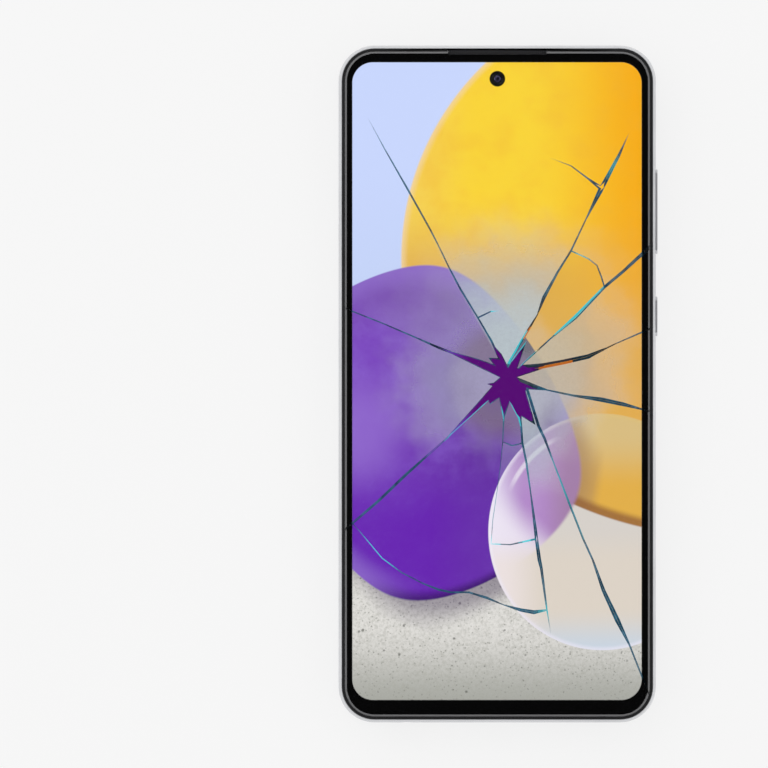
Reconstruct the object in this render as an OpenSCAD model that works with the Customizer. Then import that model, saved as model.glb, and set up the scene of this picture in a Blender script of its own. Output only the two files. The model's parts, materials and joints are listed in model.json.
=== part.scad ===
// Mobile phone with a shattered display glass, lying on its back.
// Millimetres. X runs across the screen to the side keys, Y towards the earpiece,
// Z out of the screen. The origin is under the middle of the body, on the plane
// that the camera rings touch.

/* [Body] */
// Width of the body, without the side keys
body_w = 77.4; // [72:0.1:96]
// Length of the body
body_h = 165; // [137:0.5:200]
// Thickness from the flat back to the display glass
body_t = 8.4; // [8.2:0.1:10.5]
// Radius of the four corners seen from the front
corner_r = 8.8; // [7.2:0.1:11]
// Wall of the rear cover
cover_wall = 0.8; // [0.6:0.05:1]
// Radius of the rear cover's curved edge
cover_edge_r = 2.1; // [1.8:0.05:2.4]

/* [Frame] */
// Width of the bright lip around the display
lip_w = 0.85; // [0.6:0.05:1.1]
// Radius of the barrelled side wall
barrel_r = 6; // [5:0.5:20]
// Depth of the side wall, from the outside to the component bay
wall_d = 3.9; // [3.7:0.05:4.7]
// Thickness of the plate between the display and the component bay
midplate_t = 0.6; // [0.5:0.05:0.8]

/* [Display] */
// Width of the black gasket between lip and glass
gasket_w = 0.65; // [0.5:0.05:0.8]
// Thickness of the cover glass
glass_t = 0.7; // [0.6:0.05:0.85]
// Radius of the glass's rounded edge
glass_edge_r = 0.6; // [0.3:0.05:0.6]
// Thickness of the clear adhesive that holds the broken pieces
adhesive_t = 0.15; // [0.1:0.01:0.2]
// Thickness of the display panel
panel_t = 0.9; // [0.75:0.05:1]
// Radius of the window for the front camera
front_camera_r = 1.65; // [1.5:0.05:2.1]
// Distance from the top edge to the front camera
front_camera_y = 8.2; // [7.5:0.1:8.6]
// Length of the earpiece slit
earpiece_w = 23.9; // [19:0.1:28.6]

/* [Camera bump] */
// Width of the camera bump
bump_w = 27.2; // [26.6:0.1:32.6]
// Length of the camera bump
bump_h = 42.9; // [41.9:0.1:51]
// Height of the bump over the back
bump_t = 1.2; // [1:0.05:1.45]
// Corner radius of the bump
bump_r = 5.5; // [4.6:0.1:6.6]
// Width of the smooth slope around the bump
skirt_w = 2; // [1.6:0.1:2.3]
// Radius of the large camera rings
ring_r = 5.4; // [4.5:0.1:5.6]
// Height of the camera rings over the bump
ring_proud = 0.3; // [0.2:0.05:0.36]
// Distance between two large cameras
lens_pitch = 12.75; // [12.5:0.05:13.4]
// Radius of the two small windows
window_r = 3.5; // [2.9:0.05:4.2]

/* [Keys, tray and sockets] */
// Length of the volume key
volume_l = 20.6; // [17:0.1:24.8]
// Length of the power key
power_l = 9.7; // [8:0.1:11.7]
// Distance from the top edge to the middle of the volume key
volume_y = 40.5; // [36:0.5:44]
// Distance from the top edge to the middle of the power key
power_y = 66; // [62:0.5:72]
// How far the keys stand out of the side
key_proud = 0.35; // [0.28:0.01:0.42]
// Travel of the power key
power_travel = 0.3; // [0.2:0.01:0.32]
// Width of the card tray
tray_w = 13; // [12.6:0.1:14]
// Length of the card tray behind its face
tray_l = 24; // [21.6:0.1:25]
// Radius of the headphone socket's bore
jack_r = 1.8; // [1.5:0.05:1.85]
// Length of the headphone socket's bore
jack_l = 14; // [12:0.1:16.8]

/* [Hidden] */
$fn = 64;
fit_gap = 0.05;          // between pieces that are only laid together
slide_gap = 0.15;        // round anything that travels
eps = 0.01;              // overrun of a cut through a face

// Heights, from the resting plane up to the display glass
bump_z = ring_proud;
back_z = bump_z + bump_t;
front_z = back_z + body_t;
glass_z = front_z - glass_t;
adhesive_z = glass_z - adhesive_t;
panel_z = adhesive_z - panel_t;
backing_t = 0.2;
midplate_z = panel_z - backing_t - midplate_t;
bay_z = back_z + cover_wall;
seam_z = back_z + cover_edge_r;
lip_z = front_z - 0.5;
ledge_z = glass_z - 0.2;
port_z = midplate_z - 1.6;

// Plan sizes, from the outside in
hx = body_w / 2;
hy = body_h / 2;
cover_d = 0.75;                          // the cover lies this far inside the barrel
glass_d = lip_w + gasket_w;
ledge_d = 2.9;                           // inner edge of the ledge under the glass
glass_w = body_w - 2 * glass_d - 2 * fit_gap;
glass_h = body_h - 2 * glass_d - 2 * fit_gap;
glass_r = corner_r - glass_d - fit_gap;
bay_x = hx - wall_d;
bay_y = hy - wall_d;

// Boards
board_t = 0.8;
board_gap = 0.4;
board_z = midplate_z - 0.25 - board_t;
main_y0 = bay_y - board_gap - 49.2;      // lower edge of the main board
sub_y1 = -(bay_y - board_gap) + 26.2;    // upper edge of the lower board

// Camera bump and its windows
bump_x = hx - 5.4 - bump_w / 2;
bump_y = hy - 5.2 - bump_h / 2;
lens_x = bump_x + bump_w / 2 - 8.6;
lens_y = bump_y + 12.5;
small_x = bump_x - bump_w / 2 + 6.85;
macro_y = lens_y - lens_pitch / 2;
flash_y = macro_y - lens_pitch;
camera_w = 10;
macro_w = 6.5;

// Side keys: slot, flange, plunger and dome switch, as depths from the side
key_t = 2.2;
key_z = (seam_z + lip_z) / 2;
key_wall = 1.6;
flange_t = 0.6;
flange_gap = 0.35;
flange_over = 0.5;
dome_t = 0.4;
rocker_angle = 1.5;
rocker_nub_y = 6;
rocker_gap = rocker_nub_y * sin(rocker_angle) + 0.07;
power_gap = power_travel + 0.05;
volume_cy = hy - volume_y;
power_cy = hy - power_y;

// Card tray on the side opposite the keys
tray_y = hy - 30.5;
tray_t = 1;
tray_z = midplate_z - 2.6;
tray_face_t = 1.2;
tray_face_over = 2.3;
reader_x0 = -bay_x + 0.5;
reader_x1 = -hx + tray_face_t + tray_l + 2.2;

// Sockets on the lower edge
jack_x = -0.57 * hx;
jack_mouth = 0.3;                        // the mouth lies this far inside the side
jack_wall = 0.2;                         // of the sleeve through the side
jack_body_l = jack_mouth + jack_l + 0.8 - wall_d;
usb_w = 8.94;
usb_t = 3.1;
usb_l = 7.3;
speaker_x0 = 0.285 * hx;
speaker_x1 = bay_x - 4.8;
mic_w = 3;
bottom_mic_x = 8.2;
top_mic_x = -0.36 * hx;

// Screws: head on the bracket or on the board, end in the plate over the bay
screw_r = 0.7;
screw_head_r = 1.2;
bracket_z = bay_z + 1.1;
bracket_t = 0.8;
upper_screws = [
    [-bay_x + 3.1, main_y0 + 3.2], [-bay_x + 3.1, main_y0 + 11.5], [-9.5, bay_y - 3],
    [reader_x1 + 4.2, main_y0 + 32.5], [small_x + 3, bay_y - 9.2], [small_x + 3, main_y0 + 3.4],
    [bay_x - 8.3, main_y0 + 3.3]
];
lower_screws = [
    [-bay_x + 3.8, sub_y1 - 8.5], [bay_x - 3.8, sub_y1 - 3.5], [-11, -bay_y + 4.1], [0, sub_y1 - 8.5]
];

// Cracks. Each point is [x, y, width] on a glass of 74.3 x 161.9, and follows the
// glass when its size changes. Every crack starts in the hole at the point of impact.
function to_glass(path) = [for (p = path) [p[0] * glass_w / 74.3, p[1] * glass_h / 161.9, p[2]]];
crack_a = to_glass([[2.7, 1, .5], [-1.4, 10.4, .5], [-4.8, 16.2, .35], [-9, 23.1, .45],
    [-11.9, 28.6, .35], [-14.3, 33.6, .3], [-16.3, 37.5, .4], [-21.5, 46.8, .45],
    [-27.5, 57.3, .25], [-31.6, 64.9, 0]]);
crack_b_low = to_glass([[2.7, 1, .5], [2.6, 4.9, .5], [6.8, 12, .7], [9.7, 16.8, .25],
    [11.3, 21, .85], [14.7, 27.3, .5], [17.9, 32.4, .45]]);
crack_b_high = to_glass([[17.9, 32.4, .45], [21.6, 40.2, .3], [25, 47, 1.2], [29.5, 55.5, .7],
    [32, 61, 0]]);
crack_b1 = to_glass([[25, 47.8, 1], [22.1, 49.95, .4], [17.9, 53.1, .25], [12.6, 55.1, 0]]);
crack_b2 = to_glass([[17.9, 32.4, .3], [22.1, 30.5, .25], [24.2, 28.9, .3], [25.25, 26.2, .35],
    [26.05, 23.6, .3]]);
crack_c_low = to_glass([[2.7, 1, .5], [6.3, 5, .3], [13.1, 11.2, .35], [18.9, 16.2, 1],
    [26.05, 23.6, .7]]);
crack_c_high = to_glass([[26.05, 23.6, .7], [30.5, 27.3, .7], [35.4, 31.8, .85], [39, 35.1, .85]]);
crack_d = to_glass([[2.7, 1, .5], [5.7, 4.2, .9], [11, 4.4, 1.3], [16.3, 5.4, 1.2],
    [22.1, 6.7, 1.1], [26.8, 8.85, .35], [28.95, 9.9, .25], [35.4, 12.7, .4], [39, 14.3, .4]]);
crack_e = to_glass([[2.7, 1, .5], [4.7, 1.45, .5], [12.05, -1.45, .35], [18.4, -2.8, .5],
    [25.25, -3.8, 1.1], [30.5, -4.9, .95], [35.4, -6.2, .4], [39, -7.2, .4]]);
crack_f = to_glass([[2.7, 1, .5], [7.3, -1.5, .7], [10, -10.2, .7], [11.5, -13.3, .6],
    [13.6, -18.9, .3], [17.3, -28.6, .5], [21, -38, .45], [23.2, -42.8, .45],
    [25.8, -50.2, .9], [29.2, -57.5, 1.2], [32.1, -63.4, .45], [35.3, -71.5, .35],
    [39, -80.9, .35]]);
crack_g_1 = to_glass([[2.7, 1, .5], [3.1, -4.1, .5], [5.7, -9.1, .5], [6.1, -14.4, .5]]);
crack_g_2 = to_glass([[6.1, -14.4, .5], [7.05, -19.1, .5], [8.1, -26.5, .3], [9.2, -35, .75],
    [9.5, -37.7, .8]]);
crack_g_3 = to_glass([[9.5, -37.7, .8], [10.2, -42.8, .9], [10.7, -44.9, .7],
    [12.05, -55, .35]]);
crack_g_end = to_glass([[12.05, -55, .35], [13, -60.7, 0]]);
crack_h_1 = to_glass([[2.7, 1, .5], [1.5, -9.1, .3], [1.3, -14.1, .2]]);
crack_h_2 = to_glass([[1.3, -14.1, .2], [.7, -20.2, .15], [0, -25.5, .15], [-1.1, -32.9, .15],
    [-1.55, -38.9, .15]]);
crack_h1 = to_glass([[1.3, -14.1, .2], [3.6, -15, .3], [6.1, -14.4, .2]]);
crack_h2 = to_glass([[-1.55, -38.9, .2], [3.1, -39.1, .3], [9.5, -37.7, .5]]);
crack_i = to_glass([[2.7, 1, .5], [-.9, -.4, .4], [-12.2, -13.1, .3], [-22.2, -22, .65],
    [-29.1, -28.6, .6], [-35.3, -33.9, .5], [-39, -37.1, .5]]);
crack_i2 = to_glass([[-35.3, -33.9, .2], [-33.4, -36, .15], [-28.05, -42.4, .2],
    [-23.3, -45.9, .25], [-18, -48.6, .3], [-14.3, -50.05, .5], [-11.2, -50.7, .4],
    [-6.9, -50.7, .45], [-2.7, -52, .6], [1.5, -53.75, .25], [5.7, -55, .8], [8.9, -55.55, 1],
    [12.05, -55, .4]]);
crack_j = to_glass([[2.7, 1, .5], [-1, 3, .5], [-4.6, 5.1, .5], [-14.3, 8.85, .6],
    [-18.5, 10.7, .35], [-27.5, 14.6, .3], [-35.3, 17.7, .3], [-39, 19.2, .3]]);
crack_k = to_glass([[-4.8, 16.1, .4], [-1.6, 17.65, .3], [.45, 17.8, 0]]);
// Cracks that others branch from, end to end
function tail(path) = [for (i = [1 : len(path) - 1]) path[i]];
crack_b = concat(crack_b_low, tail(crack_b_high));
crack_c = concat(crack_c_low, tail(crack_c_high));
crack_g = concat(crack_g_1, tail(crack_g_2), tail(crack_g_3), tail(crack_g_end));
crack_h = concat(crack_h_1, tail(crack_h_2));
// The hole where the glass fell out, a star of short arms
star = to_glass([[2.5, 4.4], [7.1, 10.5], [5.1, 4.5], [4.8, 3.9], [11.1, 3.7], [4.6, 1.6],
    [12.8, -1.6], [6.8, -1.3], [9.3, -10], [5.9, -7.9], [6, -12], [4.7, -7.1], [3, -4.2],
    [1.5, -9], [.4, -3.4], [-1.8, -5], [-2.2, -4.1], [-12.5, -13.4], [-.9, -.6], [-2.6, 0],
    [-.9, .35], [.6, 1.6], [-4.6, 4.1], [-14, 8.7], [-4.6, 6.1], [-1, 4.8], [-2.2, 6.4],
    [.3, 6.3], [-1.4, 10], [1, 7.3]]);

// ---------------------------------------------------------------- shared shapes

// A box from its low corner to its high corner
module block(low, high) translate(low) cube(high - low);

// A flat rounded rectangle, centred
module round_rect(w, h, r) {
    square([w - 2 * r, h], center = true);
    square([w, h - 2 * r], center = true);
    for (x = [-1, 1], y = [-1, 1]) translate([x * (w / 2 - r), y * (h / 2 - r)]) circle(r);
}

// The body's outline, d millimetres inside its outermost line
module body_outline(d) round_rect(body_w - 2 * d, body_h - 2 * d, corner_r - d);

// A plate of the body's outline
module body_plate(d, z0, z1) translate([0, 0, z0]) linear_extrude(z1 - z0) body_outline(d);

// Carries a section round a rounded rectangle. The section's x runs from the corner's
// centre (0) to the outside (r), its y is the height.
module rim(w, h, r) {
    for (k = [0 : 3]) {
        across = k % 2 == 0 ? w / 2 - r : h / 2 - r;
        along = k % 2 == 0 ? h - 2 * r : w - 2 * r;
        rotate([0, 0, 90 * k]) translate([across, 0, 0]) {
            rotate([90, 0, 0]) linear_extrude(along, center = true) children();
            translate([0, along / 2, 0]) rotate_extrude(angle = 90) children();
        }
    }
}

// A solid whose edge has the given section, and whose middle fills z0 to z1
module rimmed_solid(w, h, r, z0, z1) {
    rim(w, h, r) children();
    block([r - w / 2, r - h / 2, z0], [w / 2 - r, h / 2 - r, z1]);
}

// The strip that a crack takes out of the glass
function side_of(path, i, s) =
    let (a = path[max(i - 1, 0)], b = path[min(i + 1, len(path) - 1)],
        d = [b[0] - a[0], b[1] - a[1]], n = [-d[1], d[0]] / norm(d))
    [path[i][0], path[i][1]] + s * n * path[i][2] / 2;
module crack(path) {
    last = len(path) - 1;
    polygon(concat([for (i = [0 : last]) side_of(path, i, 1)],
        [for (i = [last : -1 : 0]) if (path[i][2] > 0) side_of(path, i, -1)]));
}
function flat(path) = [for (p = path) [p[0], p[1]]];
function last_y(path) = path[len(path) - 1][1];
function back(path) = [for (i = [len(path) - 1 : -1 : 0]) [path[i][0], path[i][1]]];

// ---------------------------------------------------------------- broken glass

// The section of the glass's rounded edge
module glass_edge() {
    square([glass_r - glass_edge_r, glass_t]);
    square([glass_r, glass_t - glass_edge_r]);
    translate([glass_r - glass_edge_r, glass_t - glass_edge_r]) circle(glass_edge_r);
}

// The whole cover glass, with the notch for the earpiece
module glass_blank() {
    difference() {
        translate([0, 0, glass_z]) intersection() {
            rimmed_solid(glass_w, glass_h, glass_r, 0, glass_t) glass_edge();
            block([-hx, -hy, 0], [hx, hy, glass_t]);
        }
        block([-earpiece_w / 2 - fit_gap, hy - 2.3, glass_z - 1],
            [earpiece_w / 2 + fit_gap, hy, front_z + 1]);
    }
}

// One piece of the glass: what lies inside a ring of cracks, less the cracks and the hole
module shard(cell, cracks) {
    color("lightsteelblue", 0.6) intersection() {
        glass_blank();
        translate([0, 0, glass_z - eps]) linear_extrude(glass_t + 2 * eps) difference() {
            polygon(cell);
            for (path = cracks) crack(path);
            polygon(flat(star));
        }
    }
}

far_x = hx + 5;
far_y = hy + 5;
left_j = [[-far_x, last_y(crack_j)]];
left_i = [[-far_x, last_y(crack_i)]];
module glass_top() shard(concat(flat(crack_j), left_j, [[-far_x, far_y], [far_x, far_y]],
    [[far_x, last_y(crack_c_high)]], back(crack_c_high), back(crack_b2), back(crack_b_low)),
    [crack_j, crack_a, crack_k, crack_b, crack_b1, crack_b2, crack_c]);
module glass_wedge() shard(concat(flat(crack_b_low), flat(crack_b2), back(crack_c_low)),
    [crack_b, crack_b2, crack_c]);
module glass_right_upper() shard(concat(flat(crack_c_low), flat(crack_c_high),
    back(crack_d)), [crack_c, crack_d, crack_b2]);
module glass_right_middle() shard(concat(flat(crack_d), back(crack_e)), [crack_d, crack_e]);
module glass_right_lower() shard(concat(flat(crack_e), back(crack_f)), [crack_e, crack_f]);
module glass_bottom() shard(concat(flat(crack_f), [[far_x, -far_y], [-far_x, -far_y]], left_i,
    [flat(crack_i)[6]], flat(crack_i2), back(crack_g_3), back(crack_g_2), back(crack_g_1)),
    [crack_f, crack_i, crack_i2, crack_g]);
module glass_sliver_upper() shard(concat(flat(crack_g_1), back(crack_h1), back(crack_h_1)),
    [crack_g, crack_h1, crack_h]);
module glass_sliver_lower() shard(concat(flat(crack_h1), flat(crack_g_2), back(crack_h2),
    back(crack_h_2)), [crack_h1, crack_g, crack_h2, crack_h]);
module glass_lower_left() shard(concat(flat(crack_h_1), flat(crack_h_2), flat(crack_h2),
    flat(crack_g_3), back(crack_i2), [for (i = [4 : -1 : 0]) flat(crack_i)[i]]),
    [crack_h, crack_h1, crack_h2, crack_g, crack_i2, crack_i]);
module glass_left() shard(concat(flat(crack_i), left_i, left_j, back(crack_j)),
    [crack_i, crack_j]);

// ---------------------------------------------------------------- display

module optical_adhesive() color("gainsboro", 0.5) body_plate(ledge_d + 0.1, adhesive_z, glass_z);

module display_panel() color("mediumpurple") difference() {
    body_plate(ledge_d + 0.1, panel_z, adhesive_z);
    translate([0, hy - front_camera_y, panel_z - eps]) cylinder(h = 2, r = front_camera_r + 0.15);
}

flex_w = 14;
flex_y0 = sub_y1 - 17;
module display_backing() color("dimgray") difference() {
    body_plate(ledge_d + 0.6, panel_z - backing_t, panel_z);
    block([-flex_w / 2 - 0.3, flex_y0 - 0.3, 0], [flex_w / 2 + 0.3, flex_y0 + 9, panel_z + eps]);
    translate([0, hy - front_camera_y, 0]) cylinder(h = 20, r = front_camera_r + 0.4);
}

module display_tape() color("black") difference() {
    body_plate(glass_d + 0.4, ledge_z, glass_z);
    body_plate(ledge_d - 0.1, 0, 20);
    block([-earpiece_w / 2 - 0.5, hy - 4, 0], [earpiece_w / 2 + 0.5, hy, 20]);
}

module display_flex() color("darkorange") {
    block([-flex_w / 2, flex_y0, board_z + board_t], [flex_w / 2, flex_y0 + 0.3, panel_z]);
    block([-flex_w / 2, flex_y0, panel_z - backing_t], [flex_w / 2, flex_y0 + 8.5, panel_z]);
}

module display_bezel() color("black") difference() {
    body_plate(lip_w + 0.03, ledge_z, lip_z + 0.05);
    body_plate(glass_d, 0, 20);
    block([-earpiece_w / 2 - 0.3, 0, 0], [earpiece_w / 2 + 0.3, hy - lip_w - 0.1, 20]);
}

earpiece_y0 = hy - 2.25;
earpiece_y1 = hy - lip_w - 0.15;
module earpiece_mesh() color("black")
    block([-earpiece_w / 2, earpiece_y0, ledge_z], [earpiece_w / 2, earpiece_y1, ledge_z + 0.3]);

module earpiece_speaker() color("dimgray") {
    block([5.5, bay_y - 6.4, midplate_z - 2.9], [17.5, bay_y - 0.4, midplate_z]);
    block([6.5, bay_y - 5.4, midplate_z - 3.1], [16.5, bay_y - 1.4, midplate_z - 2.9]);
}

module front_camera() color("#222222") {
    translate([0, hy - front_camera_y, midplate_z - eps])
        cylinder(h = adhesive_z - 0.05 - midplate_z, r = front_camera_r - 0.05);
    block([-3, hy - front_camera_y - 3, midplate_z - 2.35],
        [3, hy - front_camera_y + 3, midplate_z]);
}

// ---------------------------------------------------------------- frame

// The section of the side wall: a barrelled outside, a ledge under the glass and a lip
module wall_section() {
    intersection() {
        union() {
            translate([corner_r - ledge_d, seam_z]) square([ledge_d, ledge_z - seam_z]);
            translate([corner_r - lip_w, seam_z]) square([lip_w, lip_z - seam_z]);
        }
        translate([corner_r - barrel_r, (seam_z + lip_z) / 2]) circle(barrel_r, $fn = 128);
    }
}

// Everything between the outside of the barrel and the bay, as a solid ring
module wall_ring() {
    rim(body_w, body_h, corner_r) wall_section();
    difference() {
        body_plate(ledge_d, bay_z + 0.2, midplate_z + midplate_t);
        body_plate(wall_d, 0, 20);
    }
}

// Slot and pocket for a side key
module key_cut(cy, l) {
    block([hx - key_wall - 1, cy - l / 2 - slide_gap, key_z - key_t / 2 - slide_gap],
        [hx + 1, cy + l / 2 + slide_gap, key_z + key_t / 2 + slide_gap]);
    over = flange_over + slide_gap;
    block([bay_x - 1, cy - l / 2 - over, key_z - key_t / 2 - over],
        [hx - key_wall, cy + l / 2 + over, key_z + key_t / 2 + over]);
}

module tray_cut() {
    face = tray_w / 2 + tray_face_over;
    block([-hx - 1, tray_y - face - slide_gap, tray_z - 0.25 - slide_gap],
        [-hx + tray_face_t + fit_gap, tray_y + face + slide_gap, tray_z + tray_t + 0.25 + slide_gap]);
    block([-hx, tray_y - tray_w / 2 - slide_gap, tray_z - slide_gap],
        [-bay_x + 1, tray_y + tray_w / 2 + slide_gap, tray_z + tray_t + slide_gap]);
}

// A hole along Y through the upper or lower wall
module edge_hole(x, z, r, side)
    translate([x, side * (bay_y - 1), z]) rotate([-90 * side, 0, 0]) cylinder(h = wall_d + 2, r = r);

module earpiece_duct() {
    block([-9, earpiece_y0 + 0.35, midplate_z - 1], [9, earpiece_y1 - 0.25, ledge_z + eps]);
    block([7, bay_y - 0.2, midplate_z - 2.1], [15, earpiece_y1 - 0.25, midplate_z - 0.4]);
}

module mid_frame() color("silver") difference() {
    union() {
        wall_ring();
        body_plate(wall_d - 0.5, midplate_z, midplate_z + midplate_t);
        for (p = concat(upper_screws, lower_screws)) translate([p[0], p[1], board_z + board_t])
            cylinder(h = midplate_z - board_z - board_t + 0.1, r = 1.8);
    }
    key_cut(volume_cy, volume_l);
    key_cut(power_cy, power_l);
    tray_cut();
    earpiece_duct();
    // headphone socket and its clearance in the plate
    edge_hole(jack_x, port_z, jack_r + jack_wall + fit_gap, -1);
    block([jack_x - 3.4, -bay_y - eps, midplate_z - 1], [jack_x + 3.4, -bay_y + jack_body_l + 0.3, 20]);
    // connector opening
    block([-usb_w / 2 + 0.25 + 1.3, -hy - 1, port_z - 1.35],
        [usb_w / 2 - 0.25 - 1.3, -bay_y + 1, port_z + 1.35]);
    for (s = [-1, 1]) edge_hole(s * (usb_w / 2 - 0.25 - 1.35), port_z, 1.35, -1);
    // loudspeaker and microphones
    for (i = [0 : 4]) edge_hole(speaker_x0 + 4 + i * 2.2, port_z, 0.6, -1);
    edge_hole(bottom_mic_x, port_z, 0.5, -1);
    edge_hole(top_mic_x, port_z, 0.5, 1);
    // passages in the plate: front camera, display flex, screws
    translate([0, hy - front_camera_y, midplate_z - eps]) cylinder(h = 3, r = front_camera_r + 0.2);
    block([-flex_w / 2 - 0.4, flex_y0 - 0.4, midplate_z - 1], [flex_w / 2 + 0.4, flex_y0 + 0.8, 20]);
    for (p = concat(upper_screws, lower_screws)) translate([p[0], p[1], board_z])
        cylinder(h = 5, r = screw_r + 0.05);
}

// ---------------------------------------------------------------- keys and tray

// A key: cap through the side wall, flange behind it and plungers towards the switches
module side_key(cy, l, plungers, gap) {
    x1 = hx + key_proud;
    flange_x = hx - key_wall - flange_gap;
    translate([0, cy, key_z]) {
        // cap with rounded ends
        translate([flange_x - eps, 0, 0]) rotate([90, 0, 90]) linear_extrude(x1 - flange_x)
            round_rect(l, key_t, key_t / 2 - eps);
        block([flange_x - flange_t, -l / 2 - flange_over + 0.1, -key_t / 2 - flange_over + 0.1],
            [flange_x, l / 2 + flange_over - 0.1, key_t / 2 + flange_over - 0.1]);
        for (y = plungers) block([bay_x + dome_t + gap, y - 0.8, -0.6],
            [flange_x - flange_t + eps, y + 0.8, 0.6]);
    }
}

module volume_key() color("silver")
    side_key(volume_cy, volume_l, [-rocker_nub_y, rocker_nub_y], rocker_gap);

module power_key() color("silver") side_key(power_cy, power_l, [0], power_gap);

module key_flex() color("darkorange") {
    y0 = power_cy - power_l / 2 - 2.2;
    y1 = volume_cy + volume_l / 2 + 2.2;
    block([bay_x - 0.2, y0, key_z - 2.1], [bay_x, y1, min(key_z + 2.1, midplate_z - 0.1)]);
    for (y = [power_cy, volume_cy - rocker_nub_y, volume_cy + rocker_nub_y])
        translate([bay_x - eps, y, key_z]) rotate([0, 90, 0]) cylinder(h = dome_t + eps, r = 1.3);
}

module sim_tray() color("gainsboro") difference() {
    face = tray_w / 2 + tray_face_over;
    x0 = -hx + tray_face_t - 0.2;
    union() {
        // face, cut to the barrel of the side wall
        intersection() {
            wall_ring();
            block([-hx - 1, tray_y - face, tray_z - 0.25],
                [-hx + tray_face_t, tray_y + face, tray_z + tray_t + 0.25]);
        }
        block([x0, tray_y - tray_w / 2, tray_z], [x0 + tray_l, tray_y + tray_w / 2, tray_z + tray_t]);
    }
    // two card wells, each on a narrow ledge
    for (x = [x0 + 3.6, x0 + 3.6 + 10]) {
        block([x, tray_y - tray_w / 2 + 0.6, tray_z - 1], [x + 8.9, tray_y + tray_w / 2 - 0.6, tray_z + 0.7]);
        block([x + 1, tray_y - tray_w / 2 + 1.6, tray_z], [x + 7.9, tray_y + tray_w / 2 - 1.6, tray_z + 2]);
    }
    // hole for the ejector pin
    translate([-hx - 1, tray_y + tray_w / 2 + 1.1, tray_z + tray_t / 2]) rotate([0, 90, 0])
        cylinder(h = 4, r = 0.45);
}

module sim_reader() color("lightgray") difference() {
    block([reader_x0, tray_y - tray_w / 2 - 1.1, tray_z - 0.45],
        [reader_x1, tray_y + tray_w / 2 + 1.1, board_z]);
    block([reader_x0 - 1, tray_y - tray_w / 2 - slide_gap, tray_z - slide_gap],
        [reader_x1 - 0.6, tray_y + tray_w / 2 + slide_gap, tray_z + tray_t + slide_gap]);
}

// ---------------------------------------------------------------- boards and modules

// The outline of the bay, less a gap
module bay_outline(gap) body_outline(wall_d + gap);

module main_board() color("darkgreen") difference() {
    translate([0, 0, board_z]) linear_extrude(board_t) intersection() {
        bay_outline(board_gap);
        polygon([[-bay_x, main_y0], [bay_x - 1.8, main_y0], [bay_x - 1.8, main_y0 + 6.5],
            [lens_x - 6, main_y0 + 6.5], [lens_x - 6, bay_y - 7.8], [-5, bay_y - 7.8],
            [-5, bay_y], [-bay_x, bay_y]]);
    }
    for (p = upper_screws) translate([p[0], p[1], 0]) cylinder(h = 20, r = screw_r + 0.15);
}

// A shield can, open towards the board
module shield(x0, y0, x1, y1) color("lightgray") difference() {
    block([x0, y0, board_z - 1.4], [x1, y1, board_z]);
    block([x0 + 0.2, y0 + 0.2, board_z - 1.2], [x1 - 0.2, y1 - 0.2, board_z + eps]);
}

module processor_shield() shield(reader_x1 + 1.5, main_y0 + 6, small_x - 5, main_y0 + 30);
module radio_shield() shield(-bay_x + 2.8, bay_y - 16.8, reader_x1 - 1.7, bay_y - 5.6);

battery_x0 = -bay_x + 5.3;
battery_x1 = bay_x - 3.8;
module battery() color("#3a3a3e")
    block([battery_x0, sub_y1 + 2.5, bay_z + 0.35], [battery_x1, main_y0 - 2, midplate_z]);
module battery_flex() color("darkorange")
    block([-4, main_y0 - 2, board_z - 0.3], [4, main_y0 + 4.5, board_z]);

// A camera: square housing on the plate or board, and a lens barrel towards the back
module camera_module(x, y, w, r, z0, z1, top_z) color("#222222") {
    block([x - w / 2, y - w / 2, z0], [x + w / 2, y + w / 2, top_z]);
    translate([x, y, z1]) cylinder(h = z0 - z1 + eps, r = r);
}
barrel_z = back_z + 0.15;
module main_camera()
    camera_module(lens_x, lens_y, camera_w, 3.6, bay_z + 0.9, barrel_z, midplate_z);
module wide_camera()
    camera_module(lens_x, lens_y - lens_pitch, camera_w, 3.2, bay_z + 0.9, barrel_z, midplate_z);
module depth_camera()
    camera_module(lens_x, lens_y - 2 * lens_pitch, camera_w, 2.9, bay_z + 0.9, barrel_z, midplate_z);
module macro_camera()
    camera_module(small_x, macro_y, macro_w, 2.2, bay_z + 0.9, back_z - 0.2, board_z);
module flash_led() color("khaki")
    block([small_x - 2, flash_y - 2, back_z + 0.6], [small_x + 2, flash_y + 2, board_z]);

// Ring and glass of a large camera
glass_seat_z = 0.75;
module camera_ring(y) color("silver") translate([lens_x, y, 0]) difference() {
    union() {
        cylinder(h = back_z - 0.1, r = ring_r);
        translate([0, 0, bump_z + cover_wall]) cylinder(h = 0.4, r = ring_r + 0.6);
    }
    translate([0, 0, -eps]) cylinder(h = glass_seat_z + eps, r = ring_r - 0.4);
    translate([0, 0, -eps]) cylinder(h = 5, r = ring_r - 1.2);
}
module camera_window(y) color("#111118")
    translate([lens_x, y, 0.12]) cylinder(h = glass_seat_z - 0.12, r = ring_r - 0.4 - 0.03);
module camera_ring_1() camera_ring(lens_y);
module camera_ring_2() camera_ring(lens_y - lens_pitch);
module camera_ring_3() camera_ring(lens_y - 2 * lens_pitch);
module camera_glass_1() camera_window(lens_y);
module camera_glass_2() camera_window(lens_y - lens_pitch);
module camera_glass_3() camera_window(lens_y - 2 * lens_pitch);

window_t = 0.6;
module macro_glass() color("#111118")
    translate([small_x, macro_y, bump_z]) cylinder(h = window_t, r = window_r);
module flash_lens() color("ivory") translate([small_x, flash_y, 0]) {
    translate([0, 0, bump_z]) cylinder(h = window_t, r = window_r);
    translate([0, 0, bump_z - 0.12]) cylinder(h = 0.2, r = 2.05);
    translate([0, 0, bump_z + window_t - eps]) cylinder(h = back_z + 0.55 - bump_z - window_t, r = 2.4);
}

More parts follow.
